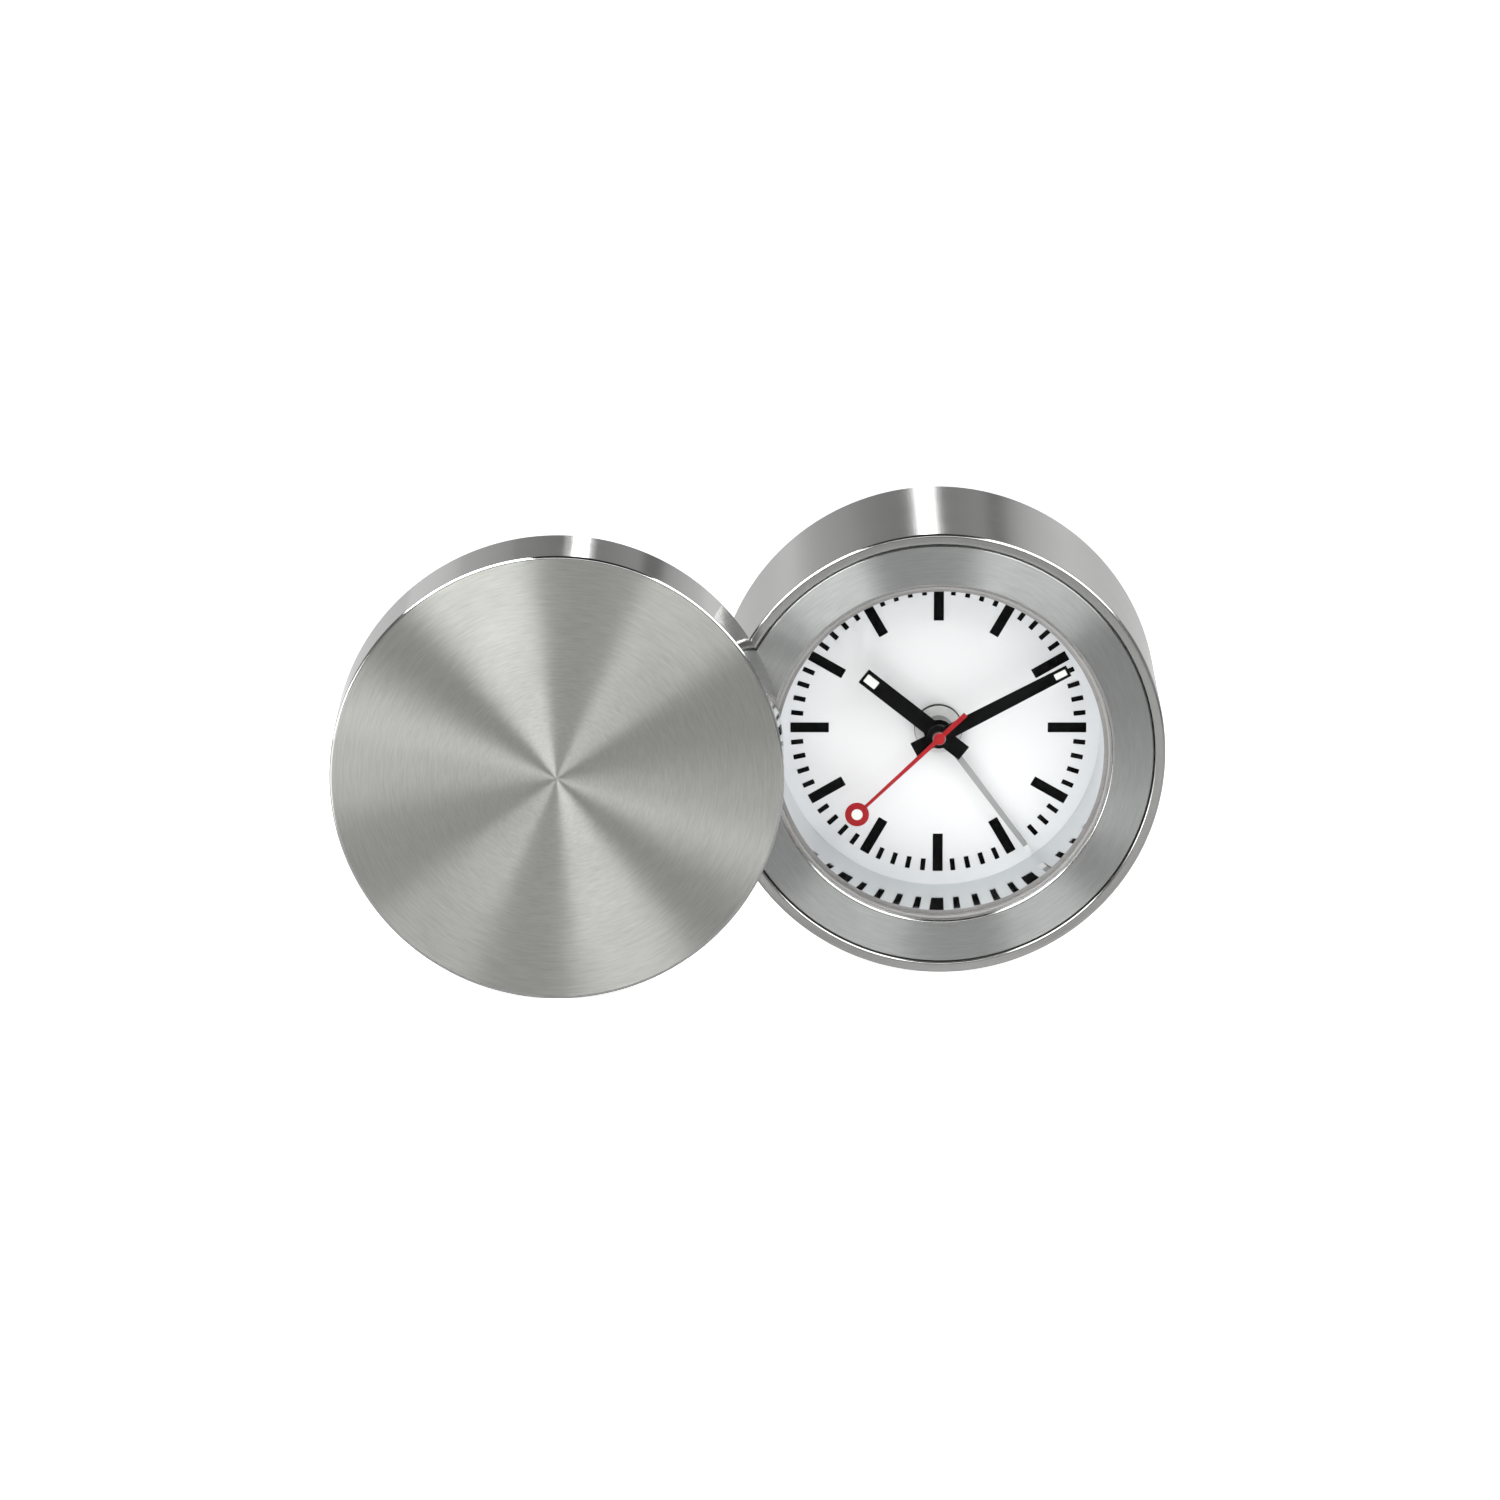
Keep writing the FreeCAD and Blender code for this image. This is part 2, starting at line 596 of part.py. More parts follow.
def movement_front():
    """Front plate with walls, the centre bush and two fixing ears."""
    outer_x = (-MOVE_HALF_W, MOVE_HALF_W)
    inner_x = (-MOVE_HALF_W + MOVE_WALL, MOVE_HALF_W - MOVE_WALL)
    shell = block(outer_x, (MOVE_FRONT, INNER_REAR), (MOVE_LOW, MOVE_HIGH))
    hollow = block(inner_x, (INNER_FRONT, INNER_REAR), (MOVE_LOW + MOVE_WALL, MOVE_HIGH - MOVE_WALL))
    reach, height, thickness = EAR
    pieces = [shell.cut(hollow), rod(BUSH_OUT_R, BUSH_FRONT, INNER_FRONT)]
    for side in (-1, 1):
        ends = sorted((side * (MOVE_HALF_W - MOVE_WALL / 2), side * (MOVE_HALF_W + reach)))
        pieces.append(block(ends, (EAR_FRONT, EAR_FRONT + thickness),
                            (EAR_Z - height / 2, EAR_Z + height / 2)))
    body = joined(pieces).cut(rod(BUSH_IN_R, BUSH_FRONT - OVERSHOOT, INNER_FRONT))
    for place in SHORT_ARBORS:
        body = body.cut(rod(ARBOR_R + RUNNING, ARBOR_FRONT - RUNNING, INNER_FRONT, place))
    for place in SETTING_ARBORS:
        body = body.cut(rod(SETTING_ARBOR_R + RUNNING, ARBOR_FRONT - RUNNING, INNER_FRONT, place))
    for place in EAR_SCREWS:
        body = body.cut(rod(SCREW_R + PLAY, EAR_FRONT, EAR_FRONT + thickness, place))
    return body


def movement_rear():
    plate = block((-MOVE_HALF_W, MOVE_HALF_W), (INNER_REAR, MOVE_REAR), (MOVE_LOW, MOVE_HIGH))
    for place in SHORT_ARBORS:
        plate = plate.cut(rod(ARBOR_R + RUNNING, INNER_REAR, ARBOR_REAR + RUNNING, place))
    plate = plate.cut(rod(SECOND_SHAFT_R + RUNNING, INNER_REAR, ARBOR_REAR + RUNNING))
    for place in SETTING_ARBORS:
        plate = plate.cut(rod(SETTING_ARBOR_R + RUNNING, INNER_REAR, MOVE_REAR, place))
    return plate


EAR_SCREW_X = MOVE_HALF_W + EAR[0] / 2
EAR_SCREWS = ((-EAR_SCREW_X, EAR_Z), (EAR_SCREW_X, EAR_Z))


# ------------------------------------------------------------------ stepping motor, electronics
def stator():
    rear = STATOR_FRONT + STATOR_T
    bar = block(STATOR_X, (STATOR_FRONT, rear), STATOR_Z)
    left = block((STATOR_X[0], STATOR_X[0] + STATOR_LEG), (STATOR_FRONT, rear),
                 (STATOR_Z[0], STATOR_TOP))
    right = block((STATOR_X[1] - STATOR_LEG, STATOR_X[1]), (STATOR_FRONT, rear),
                  (STATOR_Z[0], STATOR_TOP))
    return joined([bar, left, right]).cut(rod(STATOR_BORE_R, STATOR_FRONT, rear, ROTOR_AT))


CORE_FRONT = STATOR_FRONT + STATOR_T
COIL_DEPTH = CORE_FRONT + CORE_T / 2
COIL_X = (STATOR_X[0] + STATOR_LEG + COIL_END_GAP, STATOR_X[1] - STATOR_LEG - COIL_END_GAP)


def coil_core():
    return block(STATOR_X, (CORE_FRONT, CORE_FRONT + CORE_T),
                 (COIL_Z - CORE_HALF_H, COIL_Z + CORE_HALF_H))


def along_x(radius, x_range, depth, z):
    start = at(x_range[0], depth, z)
    return Part.makeCylinder(radius, x_range[1] - x_range[0], start, FreeCAD.Vector(1, 0, 0))


def coil_bobbin():
    left = (COIL_X[0], COIL_X[0] + BOBBIN_FLANGE_T)
    right = (COIL_X[1] - BOBBIN_FLANGE_T, COIL_X[1])
    spool = joined([along_x(BOBBIN_R, COIL_X, COIL_DEPTH, COIL_Z),
                    along_x(COIL_R, left, COIL_DEPTH, COIL_Z),
                    along_x(COIL_R, right, COIL_DEPTH, COIL_Z)])
    return spool.cut(coil_core())


def coil_winding():
    span = (COIL_X[0] + BOBBIN_FLANGE_T, COIL_X[1] - BOBBIN_FLANGE_T)
    outer = along_x(COIL_R - WINDING_INSET, span, COIL_DEPTH, COIL_Z)
    return outer.cut(along_x(BOBBIN_R, span, COIL_DEPTH, COIL_Z))


def circuit_board():
    return block(BOARD_X, (BOARD_FRONT, BOARD_FRONT + BOARD_T), BOARD_Z)


def chip():
    side, thickness = CHIP
    x_mid = sum(BOARD_X) / 2
    z_low = BOARD_Z[0] + side / 2
    return block((x_mid - side / 2, x_mid + side / 2), (BOARD_FRONT - thickness, BOARD_FRONT),
                 (z_low, z_low + side))


def quartz_can():
    x_mid = sum(BOARD_X) / 2
    z_low = BOARD_Z[1] - QUARTZ_L - QUARTZ_R
    start = at(x_mid, BOARD_FRONT - QUARTZ_R, z_low)
    return Part.makeCylinder(QUARTZ_R, QUARTZ_L, start, FreeCAD.Vector(0, 0, 1))


# ------------------------------------------------------------------ frame and screws
BOSSES = [polar(BOSS_RING_R, angle) for angle in BOSS_ANGLES]


def screw(place, head_rear, length):
    """Slotted screw driven in from the back."""
    head_front = head_rear - SCREW_HEAD_T
    shape = joined([rod(SCREW_HEAD_R, head_front, head_rear, place),
                    rod(SCREW_R, head_front - length, head_front, place)])
    slot = block((place[0] - SCREW_HEAD_R, place[0] + SCREW_HEAD_R),
                 (head_rear - SCREW_HEAD_T / 2, head_rear),
                 (place[1] - SCREW_SLOT / 2, place[1] + SCREW_SLOT / 2))
    return shape.cut(slot)


EAR_HEAD_REAR = EAR_FRONT + EAR[2] + SCREW_HEAD_T
LUG_FRONT = EAR_FRONT - PLAY - EAR[2] - PLAY


def movement_frame():
    """Ring that carries the dial, the movement and the back cover inside the case."""
    rear = COVER_FRONT - RUNNING
    ring = turned([(LEDGE_IN_R, MOVE_FRONT), (FRAME_R, MOVE_FRONT), (FRAME_R, rear),
                   (FRAME_R - FRAME_WALL, rear), (FRAME_R - FRAME_WALL, MOVE_FRONT + LEDGE_T),
                   (LEDGE_IN_R, MOVE_FRONT + LEDGE_T)])
    pieces = [ring]
    for place in BOSSES:
        pieces.append(rod(BOSS_R, MOVE_FRONT, rear, place))
    for side in (-1, 1):
        ends = sorted((side * (MOVE_HALF_W + LUG_GAP), side * FRAME_R))
        lug = block(ends, (LUG_FRONT, EAR_FRONT - PLAY),
                    (EAR_Z - EAR[1] / 2, EAR_Z + EAR[1] / 2))
        pieces.append(lug.common(rod(FRAME_R - FRAME_WALL / 2, MOVE_FRONT, rear)))
    frame = joined(pieces)
    for place in BOSSES:
        frame = frame.cut(rod(SCREW_R, COVER_REAR - SCREW_L - SCREW_HEAD_T, rear, place))
    for place in EAR_SCREWS:
        frame = frame.cut(rod(SCREW_R, LUG_FRONT, EAR_FRONT, place))
    return frame


def movement_screws():
    length = EAR_HEAD_REAR - SCREW_HEAD_T - LUG_FRONT
    return Part.makeCompound([screw(place, EAR_HEAD_REAR, length) for place in EAR_SCREWS])


def back_cover_screws():
    return Part.makeCompound([screw(place, COVER_REAR, SCREW_L) for place in BOSSES])


# ------------------------------------------------------------------ battery
def battery_cell():
    body_end = CELL_X0 + CELL_L - NUB_L
    body = along_x(CELL_R, (CELL_X0, body_end), CELL_DEPTH, CELL_Z)
    return joined([body, along_x(NUB_R, (body_end, body_end + NUB_L), CELL_DEPTH, CELL_Z)])


def battery_tray():
    """Trough for the cell, open to the battery door."""
    cavity_r = CELL_R + TRAY_PLAY
    cavity_x = (TRAY_X[0] + TRAY_END_WALL, TRAY_X[1] - TRAY_END_WALL)
    outer = block(TRAY_X, (TRAY_FRONT, TRAY_REAR), TRAY_Z)
    outer = outer.common(rod(FRAME_R - FRAME_WALL - PLAY, TRAY_FRONT, TRAY_REAR))
    hollow = along_x(cavity_r, cavity_x, CELL_DEPTH, CELL_Z)
    mouth = block(cavity_x, (CELL_DEPTH, TRAY_REAR), (CELL_Z - cavity_r, TRAY_Z[1]))
    return outer.cut(hollow).cut(mouth)


def contact_plate(x_front):
    return block((x_front, x_front + CONTACT_T),
                 (CELL_DEPTH - CONTACT_HALF, CELL_DEPTH + CONTACT_HALF),
                 (CELL_Z - CONTACT_HALF, CELL_Z + CONTACT_HALF))


def plus_contact():
    return contact_plate(CELL_X0 + CELL_L)


def minus_spring():
    """Contact plate with a short coil that presses the cell against the other contact."""
    plate_x = TRAY_X[0] + TRAY_END_WALL
    coil_x = plate_x + CONTACT_T
    height = CELL_X0 - coil_x - 2 * SPRING_WIRE_R
    path = Part.makeHelix(SPRING_PITCH, height, SPRING_R)
    section = Part.Wire([Part.makeCircle(SPRING_WIRE_R, FreeCAD.Vector(SPRING_R, 0, 0), BACKWARD)])
    coil = Part.Wire(path.Edges).makePipeShell([section], True, True)
    coil.rotate(FreeCAD.Vector(0, 0, 0), BACKWARD, 90)
    coil.translate(at(coil_x + SPRING_WIRE_R, CELL_DEPTH, CELL_Z))
    return Part.makeCompound([contact_plate(plate_x), coil])


# ------------------------------------------------------------------ back cover and controls
KNOB_FRONT = COVER_REAR + KNOB_GAP
KNOB_REAR = KNOB_FRONT + KNOB_T


def rounded_block(x_range, depth_range, z_range, corner):
    shape = block(x_range, depth_range, z_range)
    edges = [edge for edge in shape.Edges
             if abs(edge.Vertexes[0].Point.y - edge.Vertexes[1].Point.y) > 0]
    return shape.makeFillet(corner, edges)


def back_cover():
    cover = rod(FRAME_R, COVER_FRONT, COVER_REAR)
    chamber = tube(BUZZER_R + PLAY, BUZZER_R + PLAY + CHAMBER_WALL, BUZZER_FRONT,
                   COVER_FRONT + OVERSHOOT, BUZZER_AT)
    cover = joined([cover, chamber])
    cover = cover.cut(rounded_block(DOOR_X, (COVER_FRONT, COVER_REAR), DOOR_Z, DOOR_CORNER))
    for place in SETTING_ARBORS:
        cover = cover.cut(rod(SETTING_ARBOR_R + PLAY, COVER_FRONT, COVER_REAR, place))
    for place in BOSSES:
        cover = cover.cut(rod(SCREW_R + PLAY, COVER_FRONT, COVER_REAR, place))
        cover = cover.cut(rod(SCREW_HEAD_R + PLAY, COVER_REAR - SCREW_HEAD_T, COVER_REAR, place))
    slot_length, slot_height = SOUND_SLOT
    for index in range(SOUND_SLOTS):
        z_mid = BUZZER_AT[1] + (index - (SOUND_SLOTS - 1) / 2) * SOUND_PITCH
        cover = cover.cut(block((-slot_length / 2, slot_length / 2), (COVER_FRONT, COVER_REAR),
                                (z_mid - slot_height / 2, z_mid + slot_height / 2)))
    width, height = SWITCH_NECK
    slot_x = (SWITCH_AT[0] - width / 2 - PLAY, SWITCH_AT[0] + width / 2 + PLAY)
    slot_z = (SWITCH_AT[1] - height / 2 - PLAY, SWITCH_AT[1] + height / 2 + SWITCH_TRAVEL + PLAY)
    return cover.cut(block(slot_x, (COVER_FRONT, COVER_REAR), slot_z))


def grip_groove(width, height, depth, x_mid, z_mid, face):
    return block((x_mid - width / 2, x_mid + width / 2), (face - depth, face),
                 (z_mid - height / 2, z_mid + height / 2))


def alarm_switch():
    """Slide switch: a grip through the cover on a wider foot behind it."""
    width, height = SWITCH_NECK
    foot_w, foot_h, foot_t = SWITCH_FOOT
    x_mid, z_mid = SWITCH_AT
    face = COVER_REAR + SWITCH_PROUD
    foot_rear = COVER_FRONT - SWITCH_GAP
    neck = block((x_mid - width / 2, x_mid + width / 2), (foot_rear - foot_t, face),
                 (z_mid - height / 2, z_mid + height / 2))
    foot = block((x_mid - foot_w / 2, x_mid + foot_w / 2), (foot_rear - foot_t, foot_rear),
                 (z_mid - foot_h / 2, z_mid + foot_h / 2))
    switch = joined([neck, foot])
    for step in GRIP_GROOVES:
        switch = switch.cut(grip_groove(width, *SWITCH_GROOVE, x_mid,
                                        z_mid + step * SWITCH_GROOVE_PITCH, face))
    return switch


def battery_door():
    x_range = (DOOR_X[0] + DOOR_PLAY, DOOR_X[1] - DOOR_PLAY)
    z_range = (DOOR_Z[0] + DOOR_PLAY, DOOR_Z[1] - DOOR_PLAY)
    door = rounded_block(x_range, (COVER_FRONT, COVER_REAR), z_range, DOOR_CORNER - DOOR_PLAY)
    for step in GRIP_GROOVES:
        door = door.cut(grip_groove(*DOOR_GROOVE, sum(DOOR_X) / 2,
                                    DOOR_GRIP_Z + step * DOOR_GROOVE_PITCH, COVER_REAR))
    return door


def setting_knob(place):
    """Flat knob with a fluted edge, pressed on its arbor."""
    knob = tube(SETTING_ARBOR_R, KNOB_R, KNOB_FRONT, KNOB_REAR, place)
    flutes = [rod(FLUTE_R, KNOB_FRONT, KNOB_REAR, polar(KNOB_R, 360 * i / KNOB_FLUTES, place))
              for i in range(KNOB_FLUTES)]
    return knob.cut(Part.makeCompound(flutes))


def buzzer():
    return rod(BUZZER_R, BUZZER_FRONT, BUZZER_FRONT + BUZZER_T, BUZZER_AT)


# ------------------------------------------------------------------ cover and its pivot
LID_REAR = -LID_GAP
LID_FRONT = LID_REAR - LID_DEPTH
LID_INSIDE = LID_FRONT + FACE_T
HUB_AT = (PIVOT_R, 0.0)


def lid_shell():
    """Round cup with a flat face."""
    inner = CASE_R - WALL
    return turned([(0, LID_FRONT), (CASE_R - EDGE, LID_FRONT), (CASE_R, LID_FRONT + EDGE),
                   (CASE_R, LID_REAR - EDGE), (CASE_R - EDGE, LID_REAR), (inner, LID_REAR),
                   (inner, LID_INSIDE), (0, LID_INSIDE)], LID_X)


def lid_liner():
    """Moulded lining of the cover, with the hub that turns on the pivot pin."""
    outer = CASE_R - WALL - PLAY
    cup = turned([(0, LID_INSIDE), (outer, LID_INSIDE), (outer, LINER_REAR),
                  (outer - LINER_T, LINER_REAR), (outer - LINER_T, LID_INSIDE + LINER_T),
                  (0, LID_INSIDE + LINER_T)], LID_X)
    hub_post = rod(HUB_R, LID_INSIDE, HUB_REAR, HUB_AT, LID_X)
    hub_post = hub_post.common(rod(outer, LID_INSIDE, HUB_REAR, CENTRE_AT, LID_X))
    liner = joined([cup, hub_post])
    liner = liner.cut(rod(PIN_R + RUNNING, HUB_STEP, HUB_REAR, HUB_AT, LID_X))
    return liner.cut(rod(HUB_CHAMBER_R, LID_INSIDE, HUB_STEP, HUB_AT, LID_X))


def pivot_pin():
    pin = rod(PIN_R, PIN_FRONT, PIN_REAR, HUB_AT, LID_X)
    groove = tube(GROOVE_R, PIN_R, CLIP_FRONT, CLIP_FRONT + CLIP_T, HUB_AT, LID_X)
    return pin.cut(groove)


def pivot_clip():
    """Open ring that snaps into the pin's groove."""
    ring = tube(GROOVE_R, CLIP_R, CLIP_FRONT, CLIP_FRONT + CLIP_T, HUB_AT, LID_X)
    mouth = block((HUB_AT[0] - CLIP_MOUTH / 2, HUB_AT[0] + CLIP_MOUTH / 2),
                  (CLIP_FRONT, CLIP_FRONT + CLIP_T), (-CLIP_R, 0), LID_X)
    return ring.cut(mouth)


def friction_washer():
    return tube(PIN_R + PLAY, CLIP_R, HUB_STEP - WASHER_T, HUB_STEP, HUB_AT, LID_X)


# ------------------------------------------------------------------ write every node
def write_all():
    hour_hand, hour_lume = hour_hand_parts()
    minute_hand, minute_lume = minute_hand_parts()
    second_hand, second_lume = second_hand_parts()
    nodes = {
        "case_tube": case_tube(),
        "bezel_ring": bezel_ring(),
        "crystal": crystal(),
        "crystal_gasket": crystal_gasket(),
        "reflector_ring": reflector_ring(),
        "dial": dial(),
        "dial_print": dial_print(),
        "dial_washer": dial_washer(),
        "dial_nut": dial_nut(),
        "hour_hand": hour_hand,
        "hour_lume": hour_lume,
        "minute_hand": minute_hand,
        "minute_lume": minute_lume,
        "second_hand": second_hand,
        "second_lume": second_lume,
        "second_collet": second_collet(),
        "alarm_hand": alarm_hand(),
        "second_wheel": second_wheel(),
        "centre_wheel": centre_wheel(),
        "hour_wheel": hour_wheel(),
        "alarm_wheel": alarm_wheel(),
        "third_wheel": third_wheel(),
        "fifth_wheel": fifth_wheel(),
        "rotor": rotor(),
        "motion_wheel": motion_wheel(),
        "alarm_setting_arbor": alarm_setting_arbor(),
        "movement_front": movement_front(),
        "movement_rear": movement_rear(),
        "stator": stator(),
        "coil_core": coil_core(),
        "coil_bobbin": coil_bobbin(),
        "coil_winding": coil_winding(),
        "circuit_board": circuit_board(),
        "chip": chip(),
        "quartz_can": quartz_can(),
        "movement_frame": movement_frame(),
        "movement_screws": movement_screws(),
        "battery_cell": battery_cell(),
        "battery_tray": battery_tray(),
        "plus_contact": plus_contact(),
        "minus_spring": minus_spring(),
        "buzzer": buzzer(),
        "back_cover": back_cover(),
        "back_cover_screws": back_cover_screws(),
        "battery_door": battery_door(),
        "alarm_switch": alarm_switch(),
        "time_set_knob": setting_knob(MOTION_AT),
        "alarm_set_knob": setting_knob(ALARM_AT),
        "lid_shell": lid_shell(),
        "lid_liner": lid_liner(),
        "pivot_pin": pivot_pin(),
        "pivot_clip": pivot_clip(),
        "friction_washer": friction_washer(),
    }
    for name, shape in nodes.items():
        save(name, shape)


write_all()
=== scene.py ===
"""Looks of the travel alarm clock: finished surfaces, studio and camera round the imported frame.

Metres, +Z up, -Y is the way the dial faces. Places and sizes come from the frame's own boxes.
"""

import json
import math

import bmesh
import bpy
from mathutils import Matrix, Vector

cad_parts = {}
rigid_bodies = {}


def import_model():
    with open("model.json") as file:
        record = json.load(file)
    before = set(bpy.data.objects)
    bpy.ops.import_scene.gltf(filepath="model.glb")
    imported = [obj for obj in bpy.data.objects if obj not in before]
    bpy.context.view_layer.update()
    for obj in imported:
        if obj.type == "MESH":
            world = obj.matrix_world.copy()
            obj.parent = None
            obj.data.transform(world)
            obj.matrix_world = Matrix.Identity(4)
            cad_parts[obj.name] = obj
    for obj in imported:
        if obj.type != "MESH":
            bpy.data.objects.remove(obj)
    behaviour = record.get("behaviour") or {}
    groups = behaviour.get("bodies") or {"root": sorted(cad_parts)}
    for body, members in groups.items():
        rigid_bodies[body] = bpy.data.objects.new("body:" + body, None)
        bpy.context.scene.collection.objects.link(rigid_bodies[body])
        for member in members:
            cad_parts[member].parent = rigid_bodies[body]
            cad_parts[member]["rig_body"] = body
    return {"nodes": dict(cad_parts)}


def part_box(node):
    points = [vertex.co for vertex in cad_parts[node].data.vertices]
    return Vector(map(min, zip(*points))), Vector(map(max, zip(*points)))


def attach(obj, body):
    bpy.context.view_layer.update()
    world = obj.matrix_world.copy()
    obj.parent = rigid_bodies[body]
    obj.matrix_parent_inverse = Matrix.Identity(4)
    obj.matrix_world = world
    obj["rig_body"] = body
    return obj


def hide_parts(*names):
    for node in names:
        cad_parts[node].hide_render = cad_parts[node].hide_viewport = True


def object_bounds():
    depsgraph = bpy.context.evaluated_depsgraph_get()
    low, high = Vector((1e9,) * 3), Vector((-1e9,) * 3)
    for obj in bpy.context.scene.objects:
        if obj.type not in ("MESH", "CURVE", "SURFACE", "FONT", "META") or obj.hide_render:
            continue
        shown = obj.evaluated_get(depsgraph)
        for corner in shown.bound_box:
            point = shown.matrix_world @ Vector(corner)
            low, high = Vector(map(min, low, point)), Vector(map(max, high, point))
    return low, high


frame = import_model()
CAD_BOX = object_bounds()
NODES = frame["nodes"]

MM = 0.001
UP = Vector((0, 0, 1))
SENSOR = 36.0              # camera sensor width, mm

# ------------------------------------------------------------------ turned metal
SEGMENTS = 384             # facets round a turned piece
BORE_SEGMENTS = 64
ARC_STEPS = 6
GUARD = 1.15               # a guard point lies this much further out than the arc's end
BRUSHED, POLISHED = 0, 1   # finishes of a turned piece
RIM_EDGE = 0.4 * MM        # polished rounding of the outer rims
LIP_EDGE = 0.45 * MM       # polished rounding inside the case rim and round the crystal
SOFT_EDGE = 0.09 * MM      # radius left on a turned corner
GROOVE_WIDTH = 0.13 * MM   # the bezel's front is this much smaller than its skirt
GROOVE_DEPTH = 0.9 * MM
SKIRT_WALL = 1.0 * MM      # the bezel's wall inside the case
SKIRT_REACH = 4.9 * MM     # how far that wall runs back past the crystal
LIP_GAP = 0.05 * MM        # from the bezel's opening to the inside of the lip behind the crystal
LIP_OFFSET = 0.8 * MM      # from the opening to the outside of that lip
LIP_REACH = 2.9 * MM       # how far it runs back past the crystal
LID_WALL = 1.6 * MM

# ------------------------------------------------------------------ small parts
FINE_EDGE = 0.04 * MM      # radius left on a small part's corner
BEVEL_ANGLE = math.radians(35)    # edges sharper than this are eased
FLAT_ANGLE = math.radians(0.6)    # faces that meet at less than this are one face
WELD = 0.0005 * MM         # points closer than this are one point
PALE_TIP = 0.8 * MM        # length of the alarm hand's pale end

# ------------------------------------------------------------------ camera
CAMERA_RISE = math.radians(13.3)
CAMERA_REACH = 1.2966      # from the camera to the bezel's plane, along the view
CAMERA_ASIDE = (27.11 * MM, 0.66 * MM)   # bezel's centre: right of the view's axis, below it
CAMERA_LENS = 218.9        # mm
CAMERA_CLIP = 0.05

# ------------------------------------------------------------------ light
FLOOR_COLOUR = (0.80, 0.80, 0.80)
FLOOR_GLOW = 0.92          # keeps the floor pale where nothing lights it
FLOOR_IN_METAL = (0.30, 0.30, 0.30)   # the floor as the metal mirrors it, darker than it is
FLOOR_IN_METAL_GLOW = ((-0.03, 0.0), (0.03, 0.85), (0.14, 0.85), (0.24, 0.55))   # y, level
FLOOR_HALF = 12.0
ROOM_LEVELS = ((0.0, 0.72), (0.08, 0.66), (0.15, 0.50), (0.25, 0.30), (0.45, 0.20),
               (0.80, 0.14), (0.93, 0.02), (1.0, 0.01))           # height of the direction, level
ROOM_FRONT = 0.66          # the room in front is this share of the room behind
ROOM_TURN = (-0.6, 0.3)    # the share changes between these, along Y of the direction
PANEL_LENGTH = 0.40
OVERHEAD_PANELS = (        # name, inner edge, outer edge, brightness
    ("panel_left", (-0.055, -0.15, 0.21), (-0.185, -0.15, 0.165), 5.9),
    ("panel_right", (0.075, -0.15, 0.21), (0.23, -0.15, 0.15), 4.1),
)
PANELS = (                 # name, middle, size, brightness, the point it faces
    ("panel_side", (-0.60, -0.30, 0.09), (0.5, 0.18), 4.6, (0.0, 0.0, 0.03)),
    ("panel_low", (-0.275, -0.175, 0.002), (0.35, 0.25), 1.2, (-0.275, -0.175, 1.0)),
    ("strip_back", (0.017, 1.5, 0.40), (0.046, 0.50), 4.2, (0.0, 0.0, 0.03)),
    ("card_front", (0.06, -0.5, 0.30), (0.26, 0.12), 2.2, (-0.027, 0.0, 0.03)),
    ("fill_front", (0.10, -1.2, 0.45), (0.7, 0.5), 2.0, (0.03, 0.0, 0.03)),
)
GLOSSY_ONLY = ("panel_low", "card_front")     # seen in the metal, without lighting anything else
DIFFUSE_ONLY = ("fill_front",)
BACKDROP = (1.6, 0.12, 0.72)                  # y, lower edge, upper edge
BACKDROP_GREYS = ((-0.34, 0.50), (-0.205, 0.36), (-0.195, 0.31), (-0.04, 0.22), (-0.03, 0.55),
                  (0.06, 0.55), (0.07, 0.22), (0.10, 0.26), (0.205, 0.34), (0.225, 0.17),
                  (0.262, 0.17), (0.275, 0.40), (0.42, 0.80))      # x, level


def centre_of(node):
    low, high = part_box(node)
    return (low + high) / 2


def body_of(node):
    return NODES[node]["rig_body"]


def radii(node, middle=None):
    """Smallest and largest distance of a node's points from a middle, its box's own if none is given."""
    middle = middle or centre_of(node)
    spread = [math.hypot(v.co.x - middle.x, v.co.z - middle.z) for v in NODES[node].data.vertices]
    return min(spread), max(spread)


CLOCK = centre_of("case_tube")
LID = centre_of("lid_shell")
FRONT_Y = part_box("case_tube")[0].y


# ------------------------------------------------------------------ materials
CORE = (0.3, 0.7)          # most values of a noise lie between these


